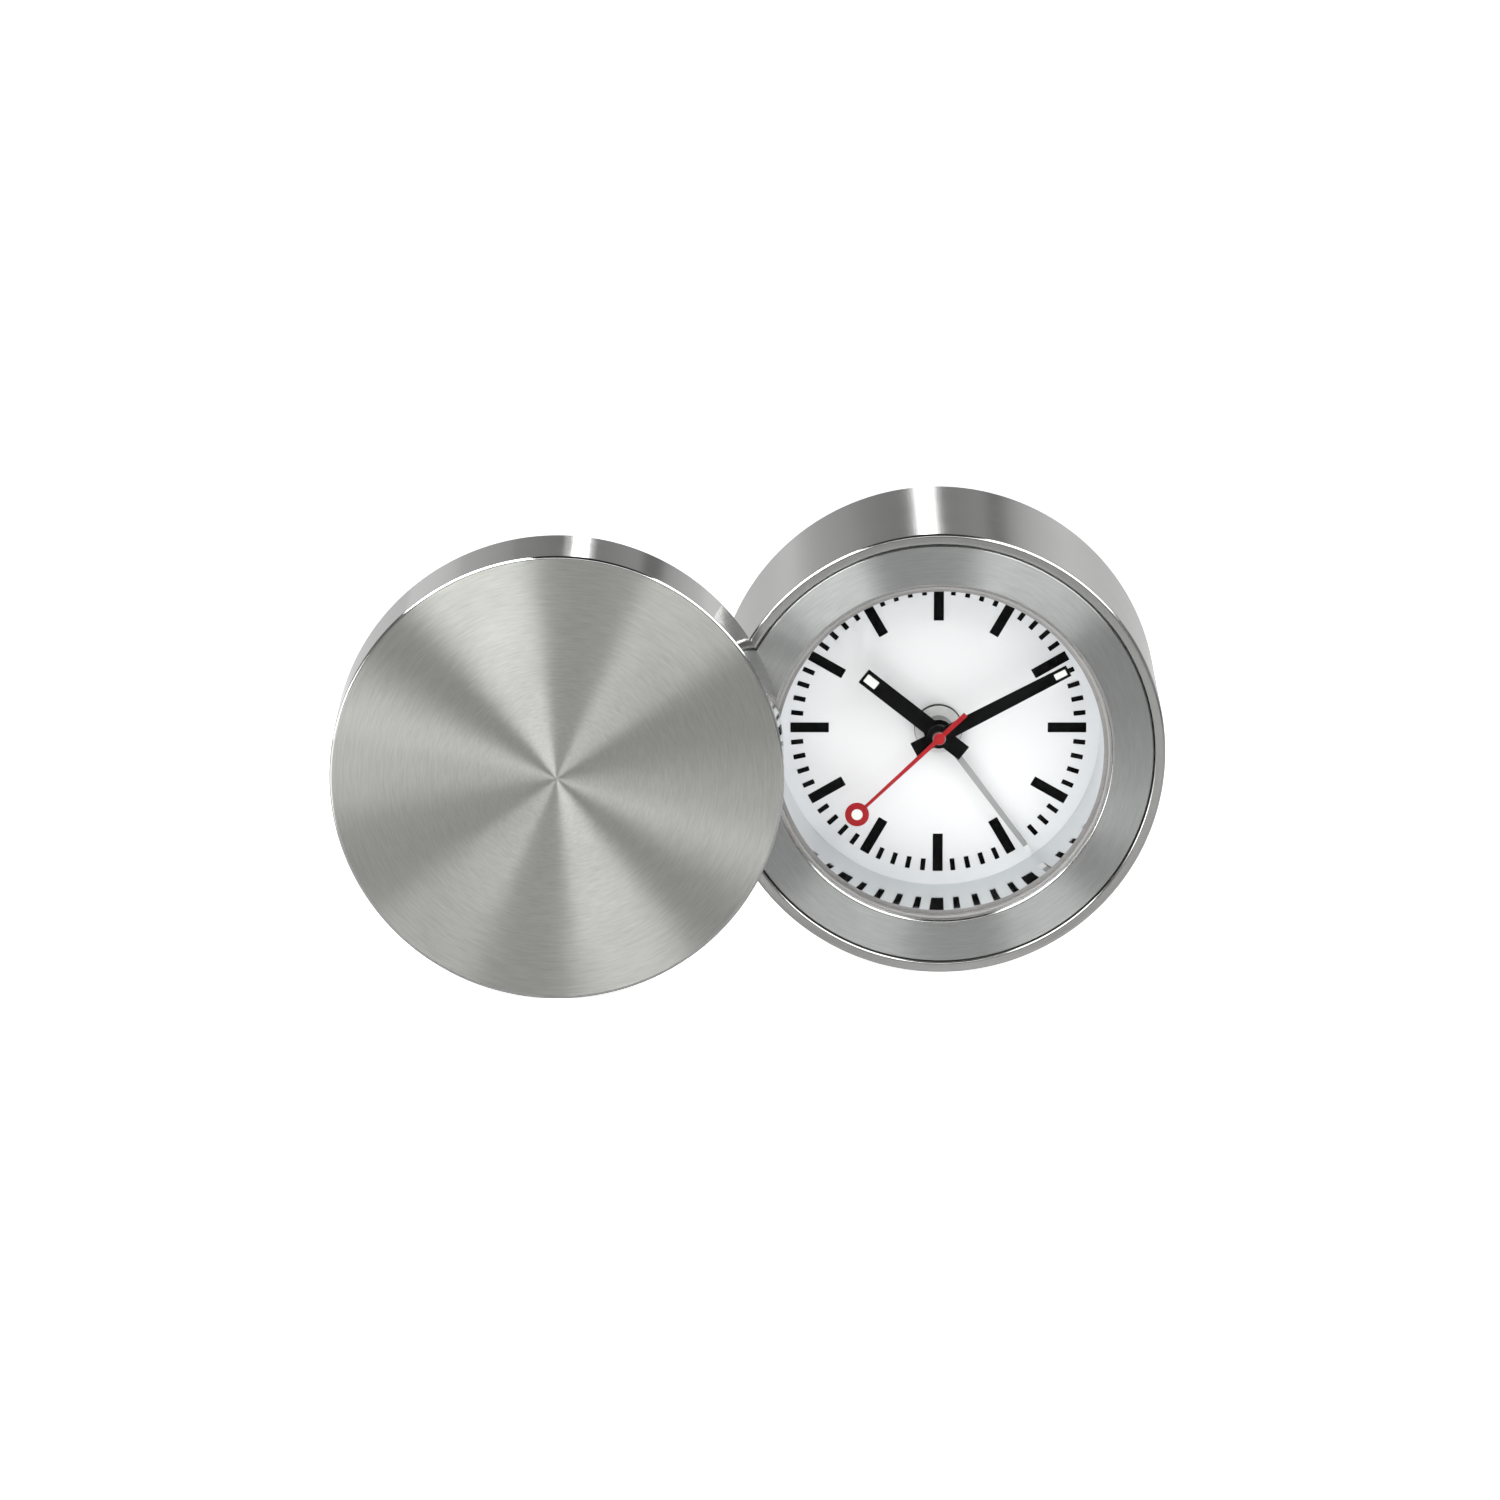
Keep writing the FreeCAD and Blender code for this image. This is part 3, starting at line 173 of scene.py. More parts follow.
class Finish:
    """A procedural material in the making: its node tree, its Principled shader, short helpers."""

    def __init__(self, name, **inputs):
        self.material = bpy.data.materials.new(name)
        self.material.use_nodes = True
        self.tree = self.material.node_tree
        self.shader = self.tree.nodes["Principled BSDF"]
        for label, value in inputs.items():
            self.shader.inputs[label.replace("_", " ")].default_value = value

    def node(self, kind, **settings):
        made = self.tree.nodes.new(kind)
        for label, value in settings.items():
            setattr(made, label, value)
        return made

    def feed(self, socket, value):
        if isinstance(value, bpy.types.NodeSocket):
            self.tree.links.new(value, socket)
        else:
            socket.default_value = value

    def drive(self, label, value):
        self.feed(self.shader.inputs[label], value)

    def value(self, operation, first, second=0.0, clamp=False):
        made = self.node("ShaderNodeMath", operation=operation, use_clamp=clamp)
        self.feed(made.inputs[0], first)
        self.feed(made.inputs[1], second)
        return made.outputs[0]

    def span(self, source, low, high, start=0.0, end=1.0):
        """Maps start..end of the source to low..high."""
        made = self.node("ShaderNodeMapRange")
        for socket, value in zip(made.inputs, (source, start, end, low, high)):
            self.feed(socket, value)
        return made.outputs[0]

    def place(self, centre):
        """Position from a centre, in metres."""
        where = self.node("ShaderNodeTexCoord").outputs["Object"]
        made = self.node("ShaderNodeVectorMath", operation="SUBTRACT")
        self.feed(made.inputs[0], where)
        self.feed(made.inputs[1], tuple(centre))
        return made.outputs[0]

    def parts(self, vector):
        made = self.node("ShaderNodeSeparateXYZ")
        self.feed(made.inputs[0], vector)
        return made.outputs

    def vector(self, x, y, z):
        made = self.node("ShaderNodeCombineXYZ")
        for socket, value in zip(made.inputs, (x, y, z)):
            self.feed(socket, value)
        return made.outputs[0]

    def noise(self, vector, scale, detail=2.0, roughness=0.5):
        made = self.node("ShaderNodeTexNoise")
        self.feed(made.inputs["Vector"], vector)
        made.inputs["Scale"].default_value = scale
        made.inputs["Detail"].default_value = detail
        made.inputs["Roughness"].default_value = roughness
        return made.outputs["Fac"]

    def radius(self, vector):
        """Distance from the line along Y."""
        x, _, z = self.parts(vector)
        return self.value("SQRT", self.value("ADD", self.value("MULTIPLY", x, x),
                                             self.value("MULTIPLY", z, z)))

    def blend(self, share, first, second):
        """Mix of two colours, each a constant or another node's output."""
        made = self.node("ShaderNodeMix", data_type="RGBA")
        self.feed(made.inputs[0], share)
        for socket, colour in ((made.inputs[6], first), (made.inputs[7], second)):
            self.feed(socket, colour if isinstance(colour, bpy.types.NodeSocket) else (*colour, 1.0))
        return made.outputs[2]

    def graded(self, source, levels):
        """Grey level along a coordinate, from (place, level) pairs."""
        first, last = levels[0][0], levels[-1][0]
        ramp = self.node("ShaderNodeValToRGB")
        self.feed(ramp.inputs[0], self.span(source, 0.0, 1.0, first, last))
        fill_ramp(ramp.color_ramp, [((place - first) / (last - first), level) for place, level in levels])
        return ramp.outputs[0]

    def bump(self, height, strength, distance):
        made = self.node("ShaderNodeBump")
        made.inputs["Strength"].default_value = strength
        made.inputs["Distance"].default_value = distance
        self.feed(made.inputs["Height"], height)
        self.drive("Normal", made.outputs[0])

    def turning_marks(self, centre, pitch, arc):
        """Fine marks that run round the centre line: pitch apart, about arc radians long."""
        where = self.place(centre)
        x, y, z = self.parts(where)
        radius = self.radius(where)
        safe = self.value("MAXIMUM", radius, 0.1 * MM)
        across = self.value("DIVIDE", self.value("ADD", radius, y), pitch)
        around = self.vector(across, self.value("DIVIDE", self.value("DIVIDE", x, safe), arc),
                             self.value("DIVIDE", self.value("DIVIDE", z, safe), arc))
        return self.noise(around, 1.0, 3.0, 0.6)

    def scratch_place(self, where):
        """Coordinates drawn out in one direction, so that noise on them makes hair scratches."""
        fine, slope, coarse = 5200.0, 900.0, 300.0
        x, y, z = self.parts(where)
        slant = self.value("ADD", self.value("MULTIPLY", x, slope), self.value("MULTIPLY", z, fine))
        return self.vector(slant, self.value("MULTIPLY", y, fine), self.value("MULTIPLY", x, coarse))


def shades(colour, change):
    """Two neighbouring shades of a colour."""
    return ([max(0.0, c * (1 - change)) for c in colour], [min(1.0, c * (1 + change)) for c in colour])


def turned_metal(name, centre, colour, roughness, grain, anisotropy=0.0, pitch=0.16, arc=0.12,
                 change=0.06, relief=0.08):
    """Metal finished on a lathe. With anisotropy the light spreads across the marks."""
    finish = Finish(name, Metallic=1.0, Anisotropic=anisotropy)
    finish.shader.inputs["Anisotropic Rotation"].default_value = 0.25
    marks = finish.turning_marks(centre, pitch * MM, arc)
    clouds = finish.noise(finish.place(centre), 90.0, 3.0)
    shade = finish.value("ADD", finish.value("MULTIPLY", marks, 0.8),
                         finish.value("MULTIPLY", clouds, 0.2))
    finish.drive("Base Color", finish.blend(finish.span(shade, 0, 1, *CORE), *shades(colour, change)))
    uneven = finish.value("ADD", finish.span(marks, -grain, grain, *CORE),
                          finish.span(clouds, -grain / 2, grain / 2, *CORE))
    finish.drive("Roughness", finish.value("ADD", uneven, roughness))
    finish.bump(marks, relief, 0.01 * MM)
    if anisotropy:
        tangent = finish.node("ShaderNodeTangent", direction_type="RADIAL", axis="Y")
        finish.drive("Tangent", tangent.outputs[0])
    return finish.material


def polished_metal(name, centre, colour, roughness=0.07):
    """Bright metal with a faint haze and a few hair scratches."""
    finish = Finish(name, Metallic=1.0)
    where = finish.place(centre)
    haze = finish.noise(where, 160.0, 4.0, 0.6)
    hair = finish.noise(finish.scratch_place(where), 1.0, 2.0)
    scratch = finish.span(hair, 0, 1, 0.70, 0.76)
    finish.drive("Base Color", finish.blend(haze, *shades(colour, 0.04)))
    hazy = finish.span(haze, roughness * 0.85, roughness * 1.2, *CORE)
    finish.drive("Roughness", finish.value("ADD", hazy, finish.value("MULTIPLY", scratch, 0.08)))
    finish.bump(hair, 0.01, 0.0005 * MM)
    return finish.material


def moulded_plastic(name, colour, roughness=0.5, grain=0.35, relief=0.25, change=0.12):
    """Moulded plastic with a fine eroded texture; grain is its size in millimetres."""
    finish = Finish(name)
    where = finish.place((0, 0, 0))
    pits = finish.noise(where, 1 / (grain * MM), 3.0, 0.55)
    clouds = finish.noise(where, 70.0, 3.0)
    finish.drive("Base Color", finish.blend(finish.span(clouds, 0, 1, *CORE), *shades(colour, change)))
    finish.drive("Roughness", finish.span(pits, roughness - 0.1, roughness + 0.12, *CORE))
    finish.bump(pits, relief, 0.03 * MM)
    return finish.material


def tumbled_metal(name, colour):
    """Bright nickel plating with a soft tumbled grain."""
    finish = Finish(name, Metallic=0.55)
    where = finish.place(CLOCK)
    grain = finish.noise(where, 2600.0, 3.0)
    finish.drive("Base Color", finish.blend(finish.span(grain, 0, 1, *CORE), *shades(colour, 0.05)))
    finish.drive("Roughness", finish.span(grain, 0.42, 0.62, *CORE))
    finish.bump(grain, 0.1, 0.01 * MM)
    return finish.material


def lacquer(name, colour, roughness=0.4, change=0.05, relief=0.06, grain=0.2, gloss=0.5, tip=None):
    """Thin even paint: a faint orange-peel, small shade changes. A hand's tip is (node, colour)."""
    finish = Finish(name)
    finish.shader.inputs["Specular IOR Level"].default_value = gloss
    where = finish.place((0, 0, 0))
    peel = finish.noise(where, 1 / (grain * MM), 2.0)
    clouds = finish.noise(where, 120.0, 3.0)
    paint = finish.blend(clouds, *shades(colour, change))
    if tip:
        node, tip_colour = tip
        start = radii(node, CLOCK)[1] - PALE_TIP
        beyond = finish.value("GREATER_THAN", finish.radius(finish.place(CLOCK)), start)
        paint = finish.blend(beyond, paint, finish.blend(clouds, *shades(tip_colour, 0.03)))
    finish.drive("Base Color", paint)
    finish.drive("Roughness", finish.span(peel, roughness - 0.06, roughness + 0.08, *CORE))
    finish.bump(peel, relief, 0.01 * MM)
    return finish.material


def clear_crystal(name):
    """Mineral glass. Light for the dial passes straight through it."""
    finish = Finish(name, IOR=1.12)
    finish.shader.inputs["Transmission Weight"].default_value = 1.0
    film = finish.noise(finish.place(CLOCK), 60.0, 3.0)
    finish.drive("Roughness", finish.span(film, 0.0, 0.012, 0.4, 0.8))
    clear = finish.node("ShaderNodeBsdfTransparent")
    path = finish.node("ShaderNodeLightPath")
    passing = finish.value("MAXIMUM", path.outputs["Is Shadow Ray"], path.outputs["Is Diffuse Ray"])
    mix = finish.node("ShaderNodeMixShader")
    finish.feed(mix.inputs[0], passing)
    finish.feed(mix.inputs[1], finish.shader.outputs[0])
    finish.feed(mix.inputs[2], clear.outputs[0])
    finish.feed(finish.tree.nodes["Material Output"].inputs["Surface"], mix.outputs[0])
    return finish.material


def circuit_laminate(name):
    """Green solder mask over a faint glass weave."""
    finish = Finish(name, Roughness=0.35)
    where = finish.place((0, 0, 0))
    x, _, z = finish.parts(where)
    thread = 2 * math.pi / (0.5 * MM)
    weave = finish.value("MULTIPLY", finish.value("SINE", finish.value("MULTIPLY", x, thread)),
                         finish.value("SINE", finish.value("MULTIPLY", z, thread)))
    finish.drive("Base Color", finish.blend(finish.span(weave, 0, 1, -1, 1), (0.01, 0.10, 0.035),
                                            (0.02, 0.17, 0.06)))
    finish.bump(weave, 0.1, 0.02 * MM)
    return finish.material


def wound_wire(name, axis_centre):
    """Enamelled copper wire, wound turn beside turn along X."""
    finish = Finish(name, Metallic=0.85, Roughness=0.3)
    where = finish.place(axis_centre)
    x, _, _ = finish.parts(where)
    turns = finish.value("SINE", finish.value("MULTIPLY", x, 2 * math.pi / (0.14 * MM)))
    wander = finish.noise(where, 700.0, 3.0)
    finish.drive("Base Color", finish.blend(wander, (0.55, 0.18, 0.06), (0.80, 0.33, 0.14)))
    finish.bump(turns, 0.5, 0.05 * MM)
    return finish.material


def cell_jacket(name):
    """Battery sleeve: plain grey with a darker band at the plus end, bare metal ends."""
    finish = Finish(name, Roughness=0.28)
    low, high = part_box("battery_cell")
    where = finish.place((low.x, 0, 0))
    x, _, _ = finish.parts(where)
    share = finish.value("DIVIDE", x, high.x - low.x)
    band = finish.value("GREATER_THAN", share, 0.88)
    jacket = finish.value("MULTIPLY", finish.value("GREATER_THAN", share, 0.035),
                          finish.value("LESS_THAN", share, 0.955))
    haze = finish.noise(where, 260.0, 3.0)
    pale = finish.blend(haze, (0.46, 0.47, 0.48), (0.56, 0.57, 0.58))
    dark = finish.blend(haze, (0.13, 0.135, 0.14), (0.18, 0.185, 0.19))
    sleeve = finish.blend(band, pale, dark)
    finish.drive("Base Color", finish.blend(jacket, (0.66, 0.66, 0.65), sleeve))
    finish.drive("Metallic", finish.value("SUBTRACT", 1.0, jacket))
    finish.bump(haze, 0.05, 0.02 * MM)
    return finish.material


def dial_enamel(name):
    """White dial: painted shade, darker and bluer towards the rim where the ring shades it, with random
    cloudy tone and a very fine grain.
    """
    finish = Finish(name)
    where = finish.place(centre_of("dial"))
    rim = radii("dial")[1]
    clouds = finish.noise(where, 60.0, 3.0)
    # painted shade: from 0.55 to 0.85 of the dial's radius the colour turns darker and bluer towards the
    # rim, standing in for the ring's shadow; the clouds add random tone
    edge = finish.span(finish.radius(where), 0.0, 0.8, rim * 0.55, rim * 0.85)
    share = finish.value("ADD", edge, finish.span(clouds, 0.0, 0.2), clamp=True)
    finish.drive("Base Color", finish.blend(share, (0.95, 0.953, 0.957), (0.86, 0.89, 0.92)))
    grain = finish.noise(where, 9000.0, 2.0)
    finish.drive("Roughness", finish.span(grain, 0.32, 0.46, *CORE))
    finish.bump(grain, 0.04, 0.01 * MM)
    return finish.material


MATERIALS = {
    "case_aluminium": turned_metal("case_satin", CLOCK, (0.52, 0.52, 0.51), roughness=0.16, grain=0.03,
                                   anisotropy=0.25, pitch=0.22, arc=0.3),
    "bezel_aluminium": turned_metal("bezel_brushed", CLOCK, (0.465, 0.475, 0.47), roughness=0.345,
                                    grain=0.03, anisotropy=1.0, pitch=0.2, change=0.10, relief=0.1),
    "lid_aluminium": polished_metal("lid_polished", LID, (0.56, 0.56, 0.55), roughness=0.09),
    "lid_face": turned_metal("lid_brushed", LID, (0.50, 0.505, 0.478), roughness=0.36, grain=0.03,
                             anisotropy=1.0, pitch=0.2, change=0.12, relief=0.1),
    "rim": polished_metal("rim_polished", CLOCK, (0.50, 0.50, 0.49), roughness=0.14),
    "reflector_metal": polished_metal("reflector_polished", CLOCK, (0.64, 0.66, 0.66), roughness=0.05),
    "crystal_clear": clear_crystal("crystal_glass"),
    "gasket_nylon": moulded_plastic("gasket_nylon", (0.26, 0.255, 0.25), roughness=0.45, grain=0.1,
                                    relief=0.1, change=0.05),
    "dial_white": dial_enamel("dial_enamel"),
    "print_black": lacquer("dial_ink", (0.003, 0.003, 0.003), roughness=0.6, change=0.2, gloss=0.03),
    "nut_steel": tumbled_metal("nut_nickel", (0.86, 0.86, 0.85)),
    "washer_black": moulded_plastic("washer_rubber", (0.006, 0.006, 0.006), roughness=0.7, grain=0.1,
                                    relief=0.15),
    "hand_black": lacquer("hand_black_lacquer", (0.003, 0.003, 0.003), roughness=0.45, change=0.2,
                          gloss=0.05),
    "hand_red": lacquer("hand_red_lacquer", (0.37, 0.008, 0.012), roughness=0.42, change=0.08, gloss=0.2),
    "hand_grey": lacquer("hand_grey_lacquer", (0.34, 0.35, 0.345), roughness=0.4, change=0.08,
                         tip=("alarm_hand", (0.95, 0.95, 0.94))),
    "lume_white": moulded_plastic("luminous_paint", (0.86, 0.88, 0.84), roughness=0.75, grain=0.09,
                                  relief=0.3, change=0.04),
    "gear_white": moulded_plastic("gear_acetal", (0.78, 0.77, 0.72), roughness=0.4, grain=0.2,
                                  relief=0.1, change=0.05),
    "housing_plastic": moulded_plastic("movement_plastic", (0.03, 0.03, 0.032), roughness=0.45,
                                       grain=0.25, relief=0.2),
    "frame_plastic": moulded_plastic("frame_plastic", (0.022, 0.022, 0.023), roughness=0.5, grain=0.3,
                                     relief=0.25),
    "motor_iron": polished_metal("motor_iron", CLOCK, (0.42, 0.40, 0.38), roughness=0.3),
    "bobbin_plastic": moulded_plastic("bobbin_plastic", (0.72, 0.70, 0.62), roughness=0.45, grain=0.2,
                                      relief=0.1, change=0.05),
    "coil_copper": wound_wire("coil_wire", centre_of("coil_winding")),
    "board_green": circuit_laminate("board_laminate"),
    "chip_black": moulded_plastic("chip_resin", (0.015, 0.015, 0.016), roughness=0.35, grain=0.15,
                                  relief=0.1),
    "can_metal": polished_metal("can_tinned", CLOCK, (0.72, 0.72, 0.70), roughness=0.15),
    "screw_steel": polished_metal("screw_steel", CLOCK, (0.60, 0.60, 0.59), roughness=0.22),
    "cell_jacket": cell_jacket("cell_sleeve"),
    "contact_metal": polished_metal("contact_nickel", CLOCK, (0.70, 0.67, 0.60), roughness=0.18),
    "buzzer_brass": turned_metal("buzzer_brass", centre_of("buzzer"), (0.72, 0.50, 0.22), roughness=0.3,
                                 grain=0.06),
    "back_plastic": moulded_plastic("back_plastic", (0.024, 0.024, 0.025), roughness=0.52, grain=0.32,
                                    relief=0.35),
    "knob_plastic": moulded_plastic("knob_plastic", (0.035, 0.035, 0.036), roughness=0.42, grain=0.3,
                                    relief=0.2),
    "switch_plastic": moulded_plastic("switch_plastic", (0.55, 0.03, 0.025), roughness=0.42, grain=0.25,
                                      relief=0.2),
    "liner_plastic": moulded_plastic("liner_plastic", (0.020, 0.020, 0.021), roughness=0.6, grain=0.4,
                                     relief=0.45),
    "pin_steel": polished_metal("pin_steel", LID, (0.62, 0.62, 0.61), roughness=0.16),
}


# ------------------------------------------------------------------ mesh pieces
def show_piece(name, mesh, body, nodes, materials):
    """Puts a mesh in the scene in place of CAD nodes; it rides on their body."""
    piece = bpy.data.objects.new(name, mesh)
    bpy.context.scene.collection.objects.link(piece)
    for label in materials:
        mesh.materials.append(MATERIALS[label])
    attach(piece, body)
    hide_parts(*nodes)
    return piece


def corner_arc(before, corner, after, radius):
    """Points of the arc that rounds a corner, with a guard point on the flat at each end."""
    corner = Vector(corner)
    legs = [(Vector(end) - corner).normalized() for end in (before, after)]
    opening = legs[0].angle(legs[1])
    trim = radius / math.tan(opening / 2)
    hub = corner + (legs[0] + legs[1]).normalized() * radius / math.sin(opening / 2)
    start = corner + legs[0] * trim - hub
    turn = math.pi - opening
    if legs[0].x * legs[1].y > legs[0].y * legs[1].x:
        turn = -turn
    points = [corner + legs[0] * trim * GUARD]
    for step in range(ARC_STEPS + 1):
        angle = turn * step / ARC_STEPS
        points.append(hub + Vector((start.x * math.cos(angle) - start.y * math.sin(angle),
                                    start.x * math.sin(angle) + start.y * math.cos(angle))))
    points.append(corner + legs[1] * trim * GUARD)
    return points


def outline_of(corners):
    """Closed (radius, y) outline from (radius, y, finish, rounding) corners.

    A finish is the one of the side that follows; a rounded corner is polished when it is large.
    """
    points = []
    for index, (r, y, finish, rounding) in enumerate(corners):
        if rounding == 0:
            points.append((Vector((r, y)), finish))
            continue
        before = corners[index - 1]
        after = corners[(index + 1) % len(corners)]
        arc = corner_arc(before[:2], (r, y), after[:2], rounding)
        bend = POLISHED if rounding >= RIM_EDGE else finish
        zones = [before[2]] + [bend] * ARC_STEPS + [finish] * 2
        points += zip(arc, zones)
    return points


def lathe_mesh(name, centre, corners, segments=SEGMENTS):
    """Closed turned mesh about a line along Y through the centre."""
    points = outline_of(corners)
    mesh = bmesh.new()
    rings = []
    for point, _ in points:
        count = 1 if point.x < 1e-7 else segments
        ring = []
        for index in range(count):
            angle = 2 * math.pi * index / segments
            ring.append(mesh.verts.new((centre.x + point.x * math.sin(angle), point.y,
                                        centre.z + point.x * math.cos(angle))))
        rings.append(ring)
    for index, ring in enumerate(rings):
        other = rings[(index + 1) % len(rings)]
        if len(ring) == len(other) == 1:
            continue
        for i in range(segments):
            j = (i + 1) % segments
            corner_verts = [ring[i % len(ring)], ring[j % len(ring)],
                            other[j % len(other)], other[i % len(other)]]
            face = mesh.faces.new(list(dict.fromkeys(corner_verts)))
            face.material_index = points[index][1]
            face.smooth = True
    bmesh.ops.recalc_face_normals(mesh, faces=mesh.faces)
    data = bpy.data.meshes.new(name)
    mesh.to_mesh(data)
    mesh.free()
    data.set_sharp_from_angle(angle=BEVEL_ANGLE)
    return data


def turned_piece(name, node, centre, corners, materials):
    mesh = lathe_mesh(name, centre, corners)
    return show_piece(name, mesh, body_of(node), [node], materials)


def eased_piece(name, node, slot_name, width=FINE_EDGE, steps=2):
    """The node's own shape with its sharp edges eased, as a moulding or a stamping has them."""
    mesh = bmesh.new()
    mesh.from_mesh(NODES[node].data)
    bmesh.ops.remove_doubles(mesh, verts=mesh.verts, dist=WELD)
    bmesh.ops.dissolve_limit(mesh, angle_limit=FLAT_ANGLE, verts=mesh.verts, edges=mesh.edges)
    sharp = [edge for edge in mesh.edges
             if len(edge.link_faces) == 2 and edge.calc_face_angle(0.0) > BEVEL_ANGLE]
    bmesh.ops.bevel(mesh, geom=sharp, offset=width, segments=steps, profile=0.5,
                    affect="EDGES", clamp_overlap=True)
    for face in mesh.faces:
        face.smooth = True
    data = bpy.data.meshes.new(name)
    mesh.to_mesh(data)
    mesh.free()
    data.set_sharp_from_angle(angle=BEVEL_ANGLE)
    piece = show_piece(name, data, body_of(node), [node], [slot_name])
    smoothing = piece.modifiers.new("flat faces stay flat", "WEIGHTED_NORMAL")
    smoothing.keep_sharp = True
    return piece


def bore(piece, centre, radius, y_range):
    """Cuts a round hole along Y through a piece."""
    low, high = y_range
    corners = [(0, low, BRUSHED, 0), (radius, low, BRUSHED, 0), (radius, high, BRUSHED, 0),
               (0, high, BRUSHED, 0)]
    cutter = bpy.data.objects.new("cutter", lathe_mesh("cutter", centre, corners, BORE_SEGMENTS))
    bpy.context.scene.collection.objects.link(cutter)
    cut = piece.modifiers.new("bore", "BOOLEAN")
    cut.operation = "DIFFERENCE"
    cut.object = cutter
    graph = bpy.context.evaluated_depsgraph_get()
    data = bpy.data.meshes.new_from_object(piece.evaluated_get(graph))
    piece.modifiers.clear()
    piece.data = data
    bpy.data.objects.remove(cutter)


# ------------------------------------------------------------------ case, bezel, crystal
def make_case():
    low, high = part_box("case_tube")
    inner, outer = radii("case_tube")
    corners = [(inner, low.y, BRUSHED, LIP_EDGE), (outer, low.y, BRUSHED, RIM_EDGE),
               (outer, high.y, BRUSHED, RIM_EDGE), (inner, high.y, BRUSHED, SOFT_EDGE)]
    turned_piece("case_shell", "case_tube", CLOCK, corners,
                 ["case_aluminium", "rim"])


def make_bezel():
    """Brushed ring with a skirt inside the case and a lip that centres the reflector."""
    low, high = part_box("bezel_ring")
    outer = (high.x - low.x) / 2
    opening = radii("crystal_gasket")[1]
    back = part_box("crystal")[1].y
    skirt = outer - SKIRT_WALL
    skirt_end = back + SKIRT_REACH
    lip_inside = opening + LIP_GAP
    lip_outside = opening + LIP_OFFSET
    lip_end = back + LIP_REACH
    face = outer - GROOVE_WIDTH
    corners = [(opening, low.y, BRUSHED, LIP_EDGE), (face, low.y, BRUSHED, SOFT_EDGE),
               (face, low.y + GROOVE_DEPTH, BRUSHED, 0), (outer, low.y + GROOVE_DEPTH, BRUSHED, 0),
               (outer, skirt_end, BRUSHED, 0), (skirt, skirt_end, BRUSHED, 0), (skirt, back, BRUSHED, 0),
               (lip_outside, back, BRUSHED, 0), (lip_outside, lip_end, BRUSHED, 0),
               (lip_inside, lip_end, BRUSHED, 0), (lip_inside, back, BRUSHED, 0),
               (opening, back, BRUSHED, 0)]
    piece = turned_piece("bezel", "bezel_ring", CLOCK, corners,
                         ["bezel_aluminium", "rim"])
    pin_low, pin_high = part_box("pivot_pin")
    bore(piece, centre_of("pivot_pin"), (pin_high.x - pin_low.x) / 2, (pin_low.y, pin_high.y))


def make_ring(name, node, materials, edge):
    """Plain turned ring with eased edges. Its front takes the last material, the rest the first."""
    low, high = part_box(node)
    inner, outer = radii(node)
    front = len(materials) - 1
    corners = [(inner, low.y, front, edge), (outer, low.y, 0, edge),
               (outer, high.y, 0, edge), (inner, high.y, 0, edge)]
    turned_piece(name, node, CLOCK, corners, materials)


def make_crystal():
    low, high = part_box("crystal")
    outer = radii("crystal")[1]
    corners = [(0, low.y, BRUSHED, 0), (outer, low.y, BRUSHED, SOFT_EDGE),
               (outer, high.y, BRUSHED, SOFT_EDGE), (0, high.y, BRUSHED, 0)]
    turned_piece("crystal_pane", "crystal", CLOCK, corners, ["crystal_clear"])


# ------------------------------------------------------------------ cover
def make_lid():
    """Cup with a brushed face, polished rims and a polished wall."""
    low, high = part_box("lid_shell")
    outer = radii("lid_shell")[1]
    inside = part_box("lid_liner")[0].y
    inner = outer - LID_WALL
    corners = [(0, low.y, BRUSHED, 0), (outer, low.y, POLISHED, RIM_EDGE),
               (outer, high.y, POLISHED, RIM_EDGE), (inner, high.y, POLISHED, SOFT_EDGE),
               (inner, inside, POLISHED, 0), (0, inside, POLISHED, 0)]
    turned_piece("lid_cup", "lid_shell", LID, corners, ["lid_face", "lid_aluminium"])


# ------------------------------------------------------------------ studio
def aimed(obj, place, target):
    obj.location = place
    obj.rotation_mode = "QUATERNION"
    obj.rotation_quaternion = (Vector(target) - Vector(place)).to_track_quat("-Z", "Y")
    bpy.context.scene.collection.objects.link(obj)
    return obj


def soft_panel(name, place, size, radiance, target):
    """Rectangular soft light. Its power follows from the brightness of its face."""
    width, height = size
    light = bpy.data.lights.new(name, "AREA")
    light.shape = "RECTANGLE"
    light.size = width
    light.size_y = height
    light.energy = radiance * math.pi * width * height
    panel = aimed(bpy.data.objects.new(name, light), place, target)
    panel.visible_camera = False
    return panel


def fill_ramp(ramp, levels):
    """Puts (position, grey) stops on a new colour ramp."""
    while len(ramp.elements) < len(levels):
        ramp.elements.new(0.5)
    for element, (position, level) in zip(ramp.elements, levels):
        element.position = position
        element.color = (level, level, level, 1)


def card(name, corners, finish):
    """Four-cornered studio surface."""
    mesh = bpy.data.meshes.new(name)
    mesh.from_pydata(corners, [], [(0, 1, 2, 3)])
    mesh.materials.append(finish.material)
    obj = bpy.data.objects.new(name, mesh)
    bpy.context.scene.collection.objects.link(obj)
    return obj


def make_backdrop():
    """Upright card behind the object: grey steps, seen only in the metal."""
    y, low, high = BACKDROP
    left, right = BACKDROP_GREYS[0][0], BACKDROP_GREYS[-1][0]
    finish = Finish("backdrop_card", Roughness=1.0)
    finish.shader.inputs["Base Color"].default_value = (0, 0, 0, 1)
    finish.shader.inputs["Specular IOR Level"].default_value = 0.0
    finish.shader.inputs["Emission Strength"].default_value = 1.0
    x, _, _ = finish.parts(finish.place((0, 0, 0)))
    finish.drive("Emission Color", finish.graded(x, BACKDROP_GREYS))
    backdrop = card("backdrop", [(left, y, low), (right, y, low), (right, y, high), (left, y, high)],
                    finish)
    backdrop.visible_camera = False
    backdrop.visible_diffuse = False
    backdrop.visible_shadow = False


